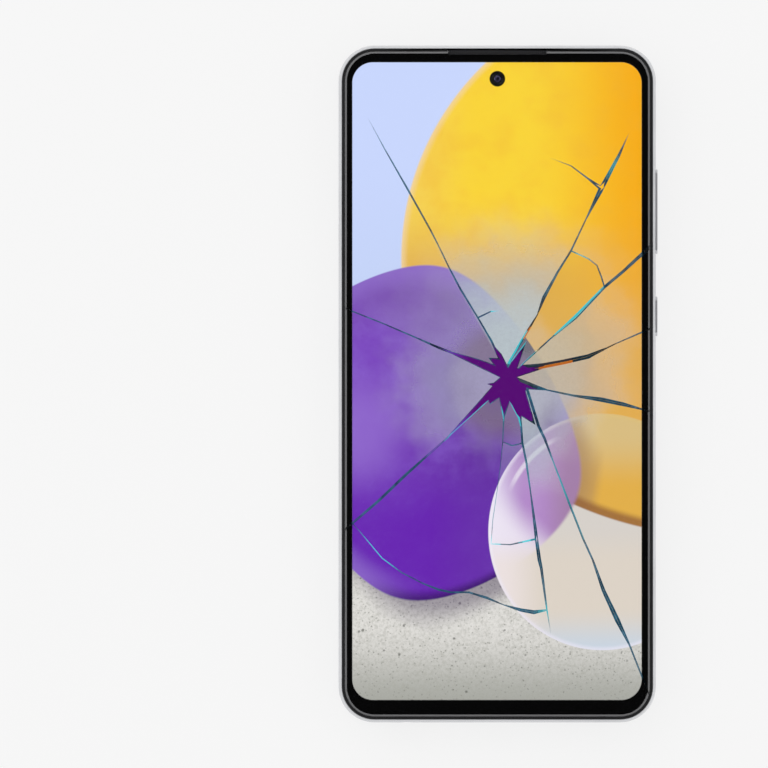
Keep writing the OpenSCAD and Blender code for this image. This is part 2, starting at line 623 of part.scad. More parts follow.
module upper_bracket() color("#2a2a2c") difference() {
    union() {
        translate([0, 0, bracket_z]) linear_extrude(bracket_t) intersection() {
            bay_outline(board_gap + 0.1);
            translate([-bay_x, main_y0 + 0.5]) square([2 * bay_x, bay_y - main_y0]);
        }
        for (p = upper_screws) translate([p[0], p[1], bracket_z + 0.1])
            cylinder(h = board_z - bracket_z - 0.1, r = 1.8);
    }
    block([lens_x - camera_w / 2 - 0.5, lens_y - 2 * lens_pitch - camera_w / 2 - 0.5, 0],
        [lens_x + camera_w / 2 + 0.5, lens_y + camera_w / 2 + 0.5, 20]);
    block([small_x - 3.6, macro_y - 3.6, 0], [small_x + 3.6, macro_y + 3.6, 20]);
    block([small_x - 2.4, flash_y - 2.4, 0], [small_x + 2.4, flash_y + 2.4, 20]);
    for (p = upper_screws) translate([p[0], p[1], 0]) cylinder(h = 20, r = screw_r + 0.15);
}

module nfc_antenna() color("saddlebrown") difference() {
    block([-bay_x + 6.8, main_y0 + 9, bracket_z - 0.25],
        [small_x - 7, main_y0 + 28.5, bracket_z]);
    block([-bay_x + 14, main_y0 + 15, 0], [small_x - 14, main_y0 + 22.5, 20]);
}

module loudspeaker() color("#2a2a2c") difference() {
    block([speaker_x0, -bay_y + 0.2, bay_z + 0.2], [speaker_x1, -bay_y + 18.6, board_z]);
    block([speaker_x0 + 3, -bay_y - 1, port_z - 0.6], [speaker_x0 + 14, -bay_y + 1.2, port_z + 0.6]);
}

module sub_board() color("darkgreen") difference() {
    translate([0, 0, board_z]) linear_extrude(board_t) difference() {
        intersection() {
            bay_outline(board_gap);
            translate([-bay_x, -bay_y]) square([2 * bay_x, sub_y1 + bay_y]);
        }
        translate([-usb_w / 2 - 0.2, -bay_y - 1]) square([usb_w + 0.4, usb_l + 1.3]);
        translate([jack_x - 3.5, -bay_y - 1]) square([7, jack_body_l + 1.3]);
    }
    for (p = lower_screws) translate([p[0], p[1], 0]) cylinder(h = 20, r = screw_r + 0.15);
}

// A flat tube with round ends along -Y
module usb_profile(inset) round_rect(usb_w - 2 * inset, usb_t - 2 * inset, usb_t / 2 - inset - eps);
module usb_socket() color("silver") translate([0, -bay_y + usb_l, port_z]) rotate([90, 0, 0])
    difference() {
        linear_extrude(usb_l) usb_profile(0);
        translate([0, 0, 0.8]) linear_extrude(usb_l) usb_profile(0.28);
    }
module usb_tongue() color("#222222")
    block([-3.3, -bay_y + 1.6, port_z - 0.35], [3.3, -bay_y + usb_l - 0.8, port_z + 0.35]);

module headphone_jack() color("#222222") difference() {
    union() {
        block([jack_x - 3.1, -bay_y, port_z - 2.6],
            [jack_x + 3.1, -bay_y + jack_body_l, midplate_z + midplate_t - 0.05]);
        // sleeve through the side wall
        translate([jack_x, -hy + jack_mouth, port_z]) rotate([-90, 0, 0])
            cylinder(h = wall_d, r = jack_r + jack_wall);
    }
    translate([jack_x, -hy + jack_mouth + jack_l, port_z]) rotate([90, 0, 0])
        cylinder(h = jack_l + 1, r = jack_r);
}

motor_x = jack_x / 2;
module vibration_motor() color("silver")
    translate([motor_x, sub_y1 - 8.5, board_z - 2.8]) cylinder(h = 2.8, r = 4.5);

module microphone(x, y) color("goldenrod")
    block([x - mic_w / 2, y - 1.25, board_z - 1.1], [x + mic_w / 2, y + 1.25, board_z]);
module top_microphone() microphone(top_mic_x, bay_y - 1.8);
module bottom_microphone() microphone(bottom_mic_x, -bay_y + 1.8);

module interconnect_flex() color("darkorange")
    block([-bay_x + 0.7, sub_y1 - 3, board_z - 0.2], [-bay_x + 4.2, main_y0 + 1, board_z]);

coax_x = bay_x - 2.6;
coax_r = 0.4;
module coax_cable() color("black") {
    for (y = [sub_y1 - 1.4, main_y0 + 1.4]) translate([coax_x, y, board_z - 0.9])
        cylinder(h = 0.9, r = 1.1);
    translate([coax_x, main_y0 + 1.4, board_z - 0.45]) rotate([90, 0, 0])
        cylinder(h = main_y0 - sub_y1 + 2.8, r = coax_r);
}

// A screw with its head at z0, and its end in the plate
module screw(p, z0) translate([p[0], p[1], z0]) {
    difference() {
        cylinder(h = 0.5, r = screw_head_r);
        for (a = [0, 90]) rotate([0, 0, a])
            translate([-0.8, -0.15, -eps]) cube([1.6, 0.3, 0.25]);
    }
    cylinder(h = midplate_z + midplate_t - 0.1 - z0, r = screw_r);
}
module screws() color("gray") {
    for (p = upper_screws) screw(p, bracket_z - 0.5);
    for (p = lower_screws) screw(p, board_z - 0.5);
}

// ---------------------------------------------------------------- rear cover

// The section of the cover's curved edge, d inside the barrel and r round the bend
module cover_section(d, r, z0) {
    w = corner_r - d;
    intersection() {
        translate([0, z0]) square([w, seam_z - z0]);
        union() {
            square([w - r, 20]);
            translate([w - r, z0 + r]) circle(r);
        }
    }
}

// The section of the bump: flat top, slope of two equal arcs and flat foot
module bump_section() {
    foot = 0.3;
    bend = (skirt_w * skirt_w + bump_t * bump_t) / (4 * bump_t);
    top_x = bump_r - skirt_w;
    translate([0, bump_z]) square([top_x, bump_t + foot]);
    intersection() {
        translate([top_x, bump_z + bend]) circle(bend);
        translate([top_x, bump_z]) square([skirt_w / 2, bump_t + foot]);
    }
    difference() {
        translate([top_x + skirt_w / 2, bump_z + bump_t / 2])
            square([skirt_w / 2, bump_t / 2 + foot]);
        translate([bump_r, back_z - bend]) circle(bend);
    }
}

module window_hole(y) translate([small_x, y, 0]) {
    cylinder(h = bump_z + window_t, r = window_r + fit_gap);
    cylinder(h = 10, r = window_r - 0.5);
}

module rear_cover() color("#222222") difference() {
    union() {
        difference() {
            rimmed_solid(body_w - 2 * cover_d, body_h - 2 * cover_d, corner_r - cover_d, back_z,
                seam_z) cover_section(cover_d, cover_edge_r, back_z);
            inner = cover_d + cover_wall;
            rimmed_solid(body_w - 2 * inner, body_h - 2 * inner, corner_r - inner, bay_z,
                seam_z + eps) union() {
                    cover_section(inner, cover_edge_r - cover_wall, bay_z);
                    translate([0, seam_z - 0.1]) square([corner_r - inner, 0.1 + eps]);
                }
        }
        translate([bump_x, bump_y, 0])
            rimmed_solid(bump_w, bump_h, bump_r, bump_z, back_z + 0.3) bump_section();
    }
    // hollow of the bump
    translate([bump_x, bump_y, bump_z + cover_wall]) linear_extrude(3)
        round_rect(bump_w - 2 * skirt_w - 0.6, bump_h - 2 * skirt_w - 0.6, 3.2);
    for (i = [0 : 2]) translate([lens_x, lens_y - i * lens_pitch, -1])
        cylinder(h = 5, r = ring_r + fit_gap);
    window_hole(macro_y);
    window_hole(flash_y);
}

module rear_cover_adhesive() color("black") difference() {
    body_plate(ledge_d + 0.1, bay_z, bay_z + 0.2);
    body_plate(wall_d, 0, 20);
}

// ---------------------------------------------------------------- nodes

glass_top();
glass_wedge();
glass_right_upper();
glass_right_middle();
glass_right_lower();
glass_bottom();
glass_sliver_upper();
glass_sliver_lower();
glass_lower_left();
glass_left();
optical_adhesive();
display_panel();
display_backing();
display_tape();
display_flex();
display_bezel();
earpiece_mesh();
earpiece_speaker();
front_camera();
mid_frame();
volume_key();
power_key();
key_flex();
sim_tray();
sim_reader();
main_board();
processor_shield();
radio_shield();
battery();
battery_flex();
main_camera();
wide_camera();
depth_camera();
macro_camera();
flash_led();
flash_lens();
camera_ring_1();
camera_ring_2();
camera_ring_3();
camera_glass_1();
camera_glass_2();
camera_glass_3();
macro_glass();
upper_bracket();
nfc_antenna();
loudspeaker();
sub_board();
usb_socket();
usb_tongue();
headphone_jack();
vibration_motor();
top_microphone();
bottom_microphone();
interconnect_flex();
coax_cable();
screws();
rear_cover();
rear_cover_adhesive();
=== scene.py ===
# %% [markdown]
# # A phone with a shattered screen
# The phone lies on its back on a pale table, its screen still lit. A blow near the middle has
# broken the cover glass into long pieces that spread from a star-shaped hole. The CAD model holds
# every piece at its real size, so this lesson only finishes surfaces: it copies the visible
# pieces, breaks their edges the way glass and plastic do, and gives each one its real material.

# %% Load the frame
import json
import math
import bmesh
import bpy
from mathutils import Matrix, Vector, noise
from mathutils.bvhtree import BVHTree


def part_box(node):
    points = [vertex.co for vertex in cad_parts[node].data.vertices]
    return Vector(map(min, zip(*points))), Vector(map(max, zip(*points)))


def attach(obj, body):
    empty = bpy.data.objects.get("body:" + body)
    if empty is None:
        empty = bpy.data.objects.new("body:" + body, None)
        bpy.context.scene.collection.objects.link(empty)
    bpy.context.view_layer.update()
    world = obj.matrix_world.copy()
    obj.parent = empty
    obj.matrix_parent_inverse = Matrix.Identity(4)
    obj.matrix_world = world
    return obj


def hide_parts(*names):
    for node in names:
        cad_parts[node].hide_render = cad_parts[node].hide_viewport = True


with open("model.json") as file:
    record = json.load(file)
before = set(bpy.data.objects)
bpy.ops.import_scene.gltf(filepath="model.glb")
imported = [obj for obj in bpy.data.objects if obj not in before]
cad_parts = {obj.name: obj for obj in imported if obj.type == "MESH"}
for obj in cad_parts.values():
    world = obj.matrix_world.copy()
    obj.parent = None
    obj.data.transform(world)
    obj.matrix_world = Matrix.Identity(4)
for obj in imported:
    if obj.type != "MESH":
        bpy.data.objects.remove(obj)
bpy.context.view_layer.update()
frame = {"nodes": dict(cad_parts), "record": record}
MM = 0.001
print("loaded", len(frame["nodes"]), "nodes")

# %% [markdown]
# ## Camera
# The camera looks straight down on the screen. A very long lens far away keeps the sides of the
# case out of sight, which a normal lens close by would show. The phone lies to the right of the
# middle of the view, so the camera stands beside it and not over it, and needs no lens shift.

# %% A helper for objects
def put(name, data):
    """Puts a new object with this data in the scene."""
    obj = bpy.data.objects.new(name, data)
    bpy.context.collection.objects.link(obj)
    return obj


# %% Camera
VIEW_W = 186.9 * MM        # width of table that the camera takes in
VIEW_X = -27.6 * MM        # middle of the view, left of the phone's middle
LENS_MM, SENSOR_MM = 400, 36
front_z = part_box("glass_top")[1][2]
camera_data = bpy.data.cameras.new("camera")
camera_data.lens = LENS_MM
camera_data.sensor_width = SENSOR_MM
camera_data.clip_end = 10
camera = put("camera", camera_data)
camera.location = (VIEW_X, 0, front_z + VIEW_W * LENS_MM / SENSOR_MM)
bpy.context.scene.camera = camera
bpy.context.scene.view_settings.view_transform = 'Standard'
print("camera height", round(camera.location.z, 3), "m")

# %% [markdown]
# ## Helpers
# Colours are written as the sRGB hex codes that a colour picker shows, and shaders want linear
# light, so one function turns one into the other. Another adds a shader node with its settings
# and its links in one line, which keeps each material as short as its description. Nodes could be
# wired by hand in the editor, but a script can be read and run again. Most finishes are coats laid
# over each other, so a third function lays one colour over another where a value changes.

# %% Helpers for colours and nodes
def colour(code):
    """The linear RGBA of an sRGB hex colour such as '#808080'."""
    parts = [int(code[i:i + 2], 16) / 255 for i in (1, 3, 5)]
    return [c / 12.92 if c <= 0.04045 else ((c + 0.055) / 1.055) ** 2.4 for c in parts] + [1]


def add(mat, kind, inputs=(), out=0, **settings):
    """Adds a node and gives one of its outputs. Inputs are values, hex colours or sockets."""
    node = mat.node_tree.nodes.new("ShaderNode" + kind)
    for field, value in settings.items():
        setattr(node, field, value)
    for key, value in inputs.items() if isinstance(inputs, dict) else enumerate(inputs):
        if isinstance(value, bpy.types.NodeSocket):
            mat.node_tree.links.new(value, node.inputs[key])
        else:
            node.inputs[key].default_value = colour(value) if isinstance(value, str) else value
    return node.outputs[out]


def coat(mat, under, over, value, start, end, most=1.0):
    """Lays one colour over another: none of it where value is start, most of it at end."""
    share = add(mat, "MapRange", [value, start, end, 0, most], interpolation_type='SMOOTHSTEP')
    return add(mat, "Mix", {0: share, 6: under, 7: over}, out=2, data_type='RGBA')


def coats(mat, under, *layers):
    """Lays coat over coat. A layer is (colour, value, start, end) and, if not 1, most."""
    for layer in layers:
        under = coat(mat, under, *layer)
    return under


print("#808080 is", round(colour("#808080")[0], 3), "in linear light")


# %% Helpers for materials
def material(name, base, roughness, **inputs):
    """A material with one Principled shader. Inputs use its names with _ for a space."""
    mat = bpy.data.materials.new(name)
    mat.use_nodes = True
    shader = mat.node_tree.nodes["Principled BSDF"]
    shader.inputs["Base Color"].default_value = colour(base)
    shader.inputs["Roughness"].default_value = roughness
    for key, value in inputs.items():
        shader.inputs[key.replace("_", " ")].default_value = value
    return mat, shader


def feed(mat, shader, **sockets):
    """Links sockets into the shader's inputs, named with _ for a space."""
    for key, socket in sockets.items():
        mat.node_tree.links.new(socket, shader.inputs[key.replace("_", " ")])


def place(mat):
    """The place on the piece, in millimetres."""
    return add(mat, "VectorMath", {0: add(mat, "TexCoord", out="Object"), "Scale": 1 / MM},
               operation='SCALE')


# %% [markdown]
# ## Meshes from the CAD
# A CAD node comes as loose triangles. They could be shaded as they are, but then every edge is
# knife-sharp. So a copy is merged and its flat faces are joined again, which leaves only the real
# edges to work on. Normals weighted by the area of the faces keep flat faces flat beside a bevel.

# %% Helpers for meshes
def cad_copy(node, join_deg=0.5):
    """A bmesh of a CAD node with its triangles merged and its flat faces joined."""
    bm = bmesh.new()
    bm.from_mesh(frame["nodes"][node].data)
    bmesh.ops.remove_doubles(bm, verts=bm.verts, dist=0.002 * MM)
    if join_deg:
        bmesh.ops.dissolve_limit(bm, angle_limit=math.radians(join_deg), verts=bm.verts,
                                 edges=bm.edges)
    return bm


def finish_piece(bm, name, mats, body="phone", stands_for=(), smooth_deg=35):
    """Makes the mesh an object with its finishes, lets it ride, and frees the bmesh."""
    for face in bm.faces:
        face.smooth = True
    for edge in bm.edges:
        one_finish = len({face.material_index for face in edge.link_faces}) == 1
        edge.smooth = one_finish and edge.calc_face_angle(0) < math.radians(smooth_deg)
    mesh = bpy.data.meshes.new(name)
    bm.to_mesh(mesh)
    bm.free()
    for mat in mats:
        mesh.materials.append(mat)
    piece = put(name, mesh)
    even = piece.modifiers.new("even_shading", 'WEIGHTED_NORMAL')
    even.keep_sharp = True
    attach(piece, body)
    if stands_for:
        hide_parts(*stands_for)
    print(name, len(mesh.polygons), "faces")
    return piece


# %% [markdown]
# ## The lit picture
# The panel shows a plain picture: a pale sky, a large amber disc, a purple ball, a clear bubble
# and speckled sand. It is light and not paint, so it is emission, and the panel under it is
# black. An image could be wrapped on, but a pattern from nodes stays sharp at any size. Each shape
# is an oval measured from its own centre: that distance cuts the shape out and shades its rim. The
# picture is laid coat over coat, from the back to the front.

# %% A helper for ovals
def oval(mat, where, centre, radii, turn_deg=0, square=0):
    """How far each point is from an oval's centre: 1 on its outline, which may be squarer."""
    local = add(mat, "VectorMath", [where, (*centre, 0)], operation='SUBTRACT')
    if turn_deg:
        local = add(mat, "VectorRotate", {"Vector": local, "Angle": -math.radians(turn_deg)},
                    rotation_type='Z_AXIS')
    scaled = add(mat, "VectorMath", [local, (1 / radii[0], 1 / radii[1], 0)],
                 operation='MULTIPLY')
    far = add(mat, "VectorMath", [scaled], out="Value", operation='LENGTH')
    if not square:
        return far
    sides = [add(mat, "SeparateXYZ", [scaled], out=axis) for axis in "XY"]
    corner = add(mat, "Math", [add(mat, "Math", sides, operation='MULTIPLY'), 2.0],
                 operation='POWER')
    pull = add(mat, "MapRange", [corner, 0, 0.5, 1, 1 - 0.5 * square])
    return add(mat, "Math", [far, pull], operation='MULTIPLY')


# %% The lit area
LIT_HALF, LIT_MID = 35.2, -0.1                # mm, across
LIT_LOW, LIT_HIGH, LIT_CORNER = -76.9, 78.3, 5.0   # mm, along, and its corner radius
IMPACT = (2.7, 1.0)                           # mm


def past_lit(mat, where):
    """How far a point lies past the centres of the lit area's corners, in millimetres."""
    middle = (LIT_MID, (LIT_HIGH + LIT_LOW) / 2, 0)
    size = (LIT_HALF - LIT_CORNER, (LIT_HIGH - LIT_LOW) / 2 - LIT_CORNER, 0)
    past = where
    for step, value in (('SUBTRACT', middle), ('ABSOLUTE', (0, 0, 0)), ('SUBTRACT', size),
                        ('MAXIMUM', (0, 0, 0)), ('MULTIPLY', (1, 1, 0))):
        past = add(mat, "VectorMath", [past, value], operation=step)
    return add(mat, "VectorMath", [past], out="Value", operation='LENGTH')


picture, panel_shader = material("lit_oled_panel", "#020203", 0.25, Specular_IOR_Level=0.3)
where = place(picture)
across = add(picture, "SeparateXYZ", [where], out="X")
along = add(picture, "SeparateXYZ", [where], out="Y")
fine = add(picture, "TexNoise", {"Vector": where, "Scale": 1.6, "Detail": 5.0,
                                 "Roughness": 0.7})
clouds = add(picture, "TexNoise", {"Vector": where, "Scale": 0.11, "Detail": 5.0,
                                   "Roughness": 0.62})
print("lit area", 2 * LIT_HALF, "by", round(LIT_HIGH - LIT_LOW, 1), "mm")

# %% Sky and sand
HORIZON = -28                                 # mm, where the sand begins
sky = coat(picture, "#C2D2F2", "#CAD8FD", along, -10, 60)
sand = coats(picture, "#CFCBC8", ("#E2E0DA", along, -34, -54), ("#A9AAA2", along, -58, -78),
             ("#A5A59B", fine, 0.6, 0.3, 0.55))
for size, dark, tone in ((1.0, 0.33, "#8E8F87"), (0.55, 0.25, "#74756D"), (0.3, 0.25, "#585952")):
    pebbles = add(picture, "TexVoronoi", {"Vector": where, "Scale": size, "Randomness": 1.0})
    pebbles = add(picture, "Math", [fine, 0.24, pebbles], operation='MULTIPLY_ADD')
    sand = coat(picture, sand, tone, pebbles, dark, dark - 0.08, 0.7)
view = coat(picture, sky, sand, along, HORIZON + 2, HORIZON - 2)
print("horizon at", HORIZON, "mm")

# %% Amber disc: deeper towards the right, pale at the left rim, brown along its foot
DISC = ((42.5, 30.4), (65.9, 65.9))           # mm, its centre and its two radii
disc = oval(picture, where, *DISC)
amber = coats(picture, "#FCD638", ("#F8AC14", across, 6, 38), ("#F4D060", across, -4, -24, 0.7),
              ("#F2B536", clouds, 0.4, 0.72, 0.35))
dusk = coat(picture, amber, "#DCA74E", along, 46, 22, 0.85)
amber = coats(picture, dusk, (amber, across, 10, 34, 0.55), ("#DAAE60", along, 26, 8, 0.6),
              ("#E0A23A", fine, 0.55, 0.75, 0.35))
rim_light = coat(picture, "#F2D6A4", "#855A34", along, 10, -24)
amber = coat(picture, amber, rim_light, disc, 0.97, 1.0, 0.75)
view = coat(picture, view, amber, disc, 1.004, 0.996)
print("disc", 2 * DISC[1][0], "mm across")

# %% Purple ball and the soft shadow it casts on the sand
# mm: centre and radii, then its turn in degrees and how square it is
BALL = ((-18.4, -11.9), (33.9, 39.45), 31.0, 0.25)
SHADOW_OFF = (3.5, -2.5)                      # mm, away from the light
shadow = oval(picture, where, [c + d for c, d in zip(BALL[0], SHADOW_OFF)], *BALL[1:])
shade = coat(picture, view, "#5E4F6C", shadow, 1.09, 0.96, 0.62)
view = coat(picture, view, shade, along, HORIZON, HORIZON - 6)
edge = oval(picture, where, *BALL)
soft = oval(picture, where, (-34, -11), (15, 18))
ball = coats(picture, "#7C49BE", ("#5E1B9E", across, -36, 2), ("#560A74", across, 2, 16, 0.8),
             ("#8C66CE", clouds, 0.4, 0.75, 0.5), ("#78589C", along, 8, 26, 0.45),
             ("#651CB0", along, -16, -34, 0.85), ("#8A5CC8", fine, 0.55, 0.8, 0.3),
             ("#54208C", fine, 0.45, 0.25, 0.35), ("#6B47A0", across, -20, 0, 0.35),
             ("#9874D2", soft, 1.0, 0.2, 0.6))
lit_side = coat(picture, ball, "#9270CC", edge, 0.86, 1.0, 0.7)
dark_side = coat(picture, ball, "#35135C", edge, 0.94, 1.0, 0.8)
turn = add(picture, "VectorMath", [where, (0.6, -0.8, 0)], out="Value",
           operation='DOT_PRODUCT')
ball = coat(picture, lit_side, dark_side, turn, 17, 31)
from_impact = oval(picture, where, IMPACT, (1, 1))
# darker violet within 17 mm of the impact
ball = coat(picture, ball, "#54096F", from_impact, 17, 10)
# painted shadow in the star hole: near black to the upper right of the impact, past 5.5 mm
painted_hole_shadow = coat(picture, ball, "#23003A", from_impact, 5.5, 8.5, 0.95)
painted_hole_shadow = coat(picture, ball, painted_hole_shadow, along, -1, 3)
ball = coat(picture, ball, painted_hole_shadow, across, 4.6, 6.2)
view = coat(picture, view, ball, edge, 1.005, 0.995)
print("ball", 2 * BALL[1][0], "by", 2 * BALL[1][1], "mm")

# %% Bubble: clear over the amber, lilac over the ball, pale over the sand, with a bright rim
BUBBLE = ((25.5, -36.0), (27.7, 28.8))        # mm, its centre and its two radii
BENT_FOOT = ((55.2, 52.9), (90, 90))          # mm, the disc's foot as the bubble bends it
rim = oval(picture, where, *BUBBLE)
pale = coats(picture, "#DED4C6", ("#C9D6E2", along, -54, -66), ("#D8D2CA", along, -44, -34),
             ("#F1E6E6", across, 13, 0, 0.8))
foot = oval(picture, where, *BENT_FOOT)
through = coats(picture, "#E3B04A", ("#D8C088", along, -26, -12, 0.85),
                ("#A88660", edge, 1.11, 1.0, 0.75), ("#94623A", foot, 0.965, 0.988, 0.85))
film = coat(picture, pale, through, foot, 1.003, 0.997)
low_left = add(picture, "VectorMath", [where, (-0.7, -0.71, 0)], out="Value",
               operation='DOT_PRODUCT')
lilac = coats(picture, "#E6DCF2", ("#B38AC8", across, -3, 7), ("#A480A8", across, 9, 18),
              ("#EFE8F3", low_left, 15, 24, 0.9), (pale, along, -36, -45))
film = coat(picture, film, lilac, edge, 1.01, 0.99)
shine = coat(picture, "#F3EDF8", "#DFC078", across, 10, 22)
shine = coat(picture, shine, "#EDE8F4", along, -38, -50)
film = coat(picture, film, shine, rim, 0.955, 1.0, 0.65)
streak = add(picture, "Math", [rim, 0.885], operation='SUBTRACT')
streak = coat(picture, film, "#FFFFFF", add(picture, "Math", [streak], operation='ABSOLUTE'),
              0.03, 0.008, 0.55)
film = coat(picture, film, streak, oval(picture, where, (8, -18.5), (10, 10)), 1.0, 0.4)
view = coat(picture, view, film, rim, 1.005, 0.995)
print("bubble", 2 * BUBBLE[1][0], "by", 2 * BUBBLE[1][1], "mm")

# %% [markdown]
# The panel is dark outside its lit area, in a ring round the front camera's window and on its
# sides. What leaves the bonded glass loses a twenty-fifth to reflection at its face, so the
# light is that much stronger than the colours.

# %% The panel's edges
GLASS_LOSS = 1.04
WINDOW_RADIUS = 1.9                           # mm, of the front camera's window
camera_low, camera_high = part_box("front_camera")
camera_at = [(camera_low[k] + camera_high[k]) / 2 / MM for k in (0, 1)]
panel_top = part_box("display_panel")[1][2] / MM
view = coat(picture, view, "#000000", past_lit(picture, where), LIT_CORNER - 0.08,
            LIT_CORNER + 0.08)
view = coat(picture, view, "#000000", oval(picture, where, camera_at, (1, 1)),
            WINDOW_RADIUS + 0.05, WINDOW_RADIUS - 0.05)
height = add(picture, "SeparateXYZ", [where], out="Z")
view = coat(picture, view, "#000000", height, panel_top - 0.05, panel_top - 0.15)
feed(picture, panel_shader, Emission_Color=view)
panel_shader.inputs["Emission Strength"].default_value = GLASS_LOSS
frame["nodes"]["display_panel"].material_slots[0].material = picture
print("picture", len(picture.node_tree.nodes), "nodes")

# %% [markdown]
# ## Broken glass: its shape
# A crack in glass never runs straight down. Its two walls lean, so from above each crack is a
# dark band as wide as the gap, with the walls' feet nearly touching. The CAD cuts the cracks
# with upright walls, which would show the panel in every crack. A dark texture could hide that,
# but leaning walls catch the light as real ones do. So each wall is divided along its length, and
# its foot is moved out by a little under half the distance to the wall opposite, which a ray
# finds. Round the impact and along three cracks the pieces were pushed apart, so there the walls
# stay steep, apart from one bold wall on five of the pieces, and the panel shows between them.

# %% Sorting the faces of a shard
SHARDS = sorted(n for n in frame["nodes"] if n.startswith("glass_"))
shard_boxes = [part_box(n) for n in SHARDS]
glass_half = [max(b[1][k] for b in shard_boxes) for k in (0, 1)]
glass_low, glass_high = (f(b[i][2] for b in shard_boxes) for i, f in ((0, min), (1, max)))
GLASS_CORNER = 7.25 * MM
ROUNDED = 0.63 * MM                 # width of the rounded rim
EARPIECE_HALF = 12.1 * MM           # half the notch's width
TINY = 0.01 * MM
FLAT, CRACK, RIM = 0, 1, 2          # a face's kind, which is also its material's number
FLAT_TURN = math.radians(0.5)       # below this turn, two faces are one plane


def inside_by(p):
    """How far a point lies inside the glass's rounded outline."""
    dx, dy = (abs(p[k]) - glass_half[k] + GLASS_CORNER for k in (0, 1))
    return GLASS_CORNER - (math.hypot(max(dx, 0), max(dy, 0)) + min(max(dx, dy), 0))


def sort_faces(bm):
    """Marks each face of a shard as flat, crack wall or rim, and joins each wall's triangles."""
    for face in bm.faces:
        mid = face.calc_center_median()
        notch = abs(mid.x) < EARPIECE_HALF and inside_by(mid) < 1 * MM
        if abs(face.normal.z) > 0.98:
            face.material_index = FLAT
        elif inside_by(mid) < ROUNDED and abs(face.normal.z) > 0.05:
            face.material_index = RIM
        elif inside_by(mid) < 0.04 * MM or notch:
            face.material_index = RIM
        else:
            face.material_index = CRACK
    inner = [e for e in bm.edges if len(e.link_faces) == 2 and e.calc_face_angle(1) < FLAT_TURN
             and all(f.material_index == CRACK for f in e.link_faces)]
    bmesh.ops.dissolve_edges(bm, edges=inner, use_verts=False)


walls = []
shards = {}
for name in SHARDS:
    bm = cad_copy(name, join_deg=0)
    sort_faces(bm)
    shards[name] = bm
    walls += [[v.co.copy() for v in f.verts] for f in bm.faces if f.material_index == CRACK]
points = [p for wall in walls for p in wall]
firsts = [sum(len(w) for w in walls[:i]) for i in range(len(walls))]
opposite = BVHTree.FromPolygons(points, [list(range(a, a + len(w)))
                                         for a, w in zip(firsts, walls)])
print("glass", [round(h / MM, 2) for h in glass_half], "mm,", len(walls), "crack walls")

# %% Dividing the walls
STRIP = 1.2 * MM                    # length of one facet along a wall


def divide_walls(bm):
    """Cuts each long four-sided crack wall into strips, from its upper and its lower edge."""
    cuts = {}
    for face in bm.faces:
        if face.material_index == CRACK and len(face.verts) == 4:
            for edge in face.edges:
                level = abs(edge.verts[0].co.z - edge.verts[1].co.z) < TINY
                count = int(edge.calc_length() / STRIP)
                if level and count:
                    cuts.setdefault(count, []).append(edge)
    for count, edges in cuts.items():
        bmesh.ops.subdivide_edges(bm, edges=edges, cuts=count, use_grid_fill=True)


# %% How far the feet of the walls move
FOOT_SHARE = 0.495                  # of the gap that each wall's foot closes
FAINT_SHARE, BOLD_SHARE = 0.12, 0.85   # the same where a crack gapes
FOOT_FREE, FOOT_BOLD = 0.2 * MM, 0.8 * MM   # lean of walls with nothing opposite
FOOT_LEAST, FOOT_MOST = 0.13 * MM, 1.0 * MM
ACROSS = 1.6 * MM                   # how far a wall looks for the wall opposite
# which way the bold wall faces, and from how many mm off the impact it is bold
BOLD = {"glass_wedge": (0.65, -0.75, 10), "glass_top": (0.85, -0.5, 0),
        "glass_right_upper": (0, -1, 0), "glass_right_middle": (0, -1, 0),
        "glass_right_lower": (-1, -0.3, 0)}
STAR_REACH, STAR_FADE = 7.0, 2.5    # mm from the impact, and the width of the change
# direction in degrees, how far it gapes in mm, and how much
OPEN_CRACKS = ((156, 14, 1.0), (-137, 24, 1.0), (44, 24, 0.45))
OPEN_TURN, OPEN_FADE = 9, 4         # degrees to each side, and mm along
FOOT_LIFT = 0.02 * MM               # keeps the glass off the face of the adhesive
CHIP, CHIP_LENGTH = 0.03 * MM, 0.9 * MM   # unevenness of the upper edge, and its length
MID_Z = (glass_low + glass_high) / 2


def gapes(point):
    """1 where the pieces were pushed apart, and 0 where the walls' feet nearly meet."""
    arm = Vector((point.x, point.y)) / MM - Vector(IMPACT)
    turn = math.degrees(math.atan2(arm.y, arm.x))
    star = min(1, max(0, (STAR_REACH + STAR_FADE - arm.length) / STAR_FADE))
    return max([star] + [most * min(1, max(0, (far + OPEN_FADE - arm.length) / OPEN_FADE))
                         for at, far, most in OPEN_CRACKS if abs(turn - at) < OPEN_TURN])


# %% Leaning the walls
def lean_walls(bm, bold):
    """Moves the foot of every crack wall towards the wall opposite, and roughens the top edge."""
    moves = {}
    for vert in bm.verts:
        faces = [f for f in vert.link_faces if f.material_index == CRACK]
        if not faces or inside_by(vert.co) < 0.05 * MM:
            continue
        out = sum((f.normal for f in faces), Vector())
        out.z = 0
        if out.length < 1e-6:
            continue
        out.normalize()
        if vert.co.z > MID_Z:
            moves[vert] = out * CHIP * noise.noise(vert.co / CHIP_LENGTH)
            continue
        start = Vector((vert.co.x, vert.co.y, MID_Z)) + out * TINY
        hit = opposite.ray_cast(start, out, ACROSS)
        arm = math.dist(vert.co.xy / MM, IMPACT)
        is_bold = out.dot((bold[0], bold[1], 0)) > 0.6 and arm > bold[2]
        wanted = BOLD_SHARE if is_bold else FAINT_SHARE
        share = FOOT_SHARE + gapes(vert.co) * (wanted - FOOT_SHARE)
        free = FOOT_BOLD if is_bold and gapes(vert.co) > 0.5 else FOOT_FREE
        if hit[0]:
            free = max(share * hit[3], min(FOOT_LEAST, FOOT_SHARE * hit[3]))
        moves[vert] = out * min(free, FOOT_MOST)
    leans = sorted(m.length / MM for v, m in moves.items() if v.co.z < MID_Z)
    print("lean", [round(leans[int(k * (len(leans) - 1) / 4)], 2) for k in range(5)])
    for vert, move in moves.items():
        vert.co += move
    for vert in bm.verts:
        if vert.co.z < glass_low + TINY:
            vert.co.z = glass_low + FOOT_LIFT


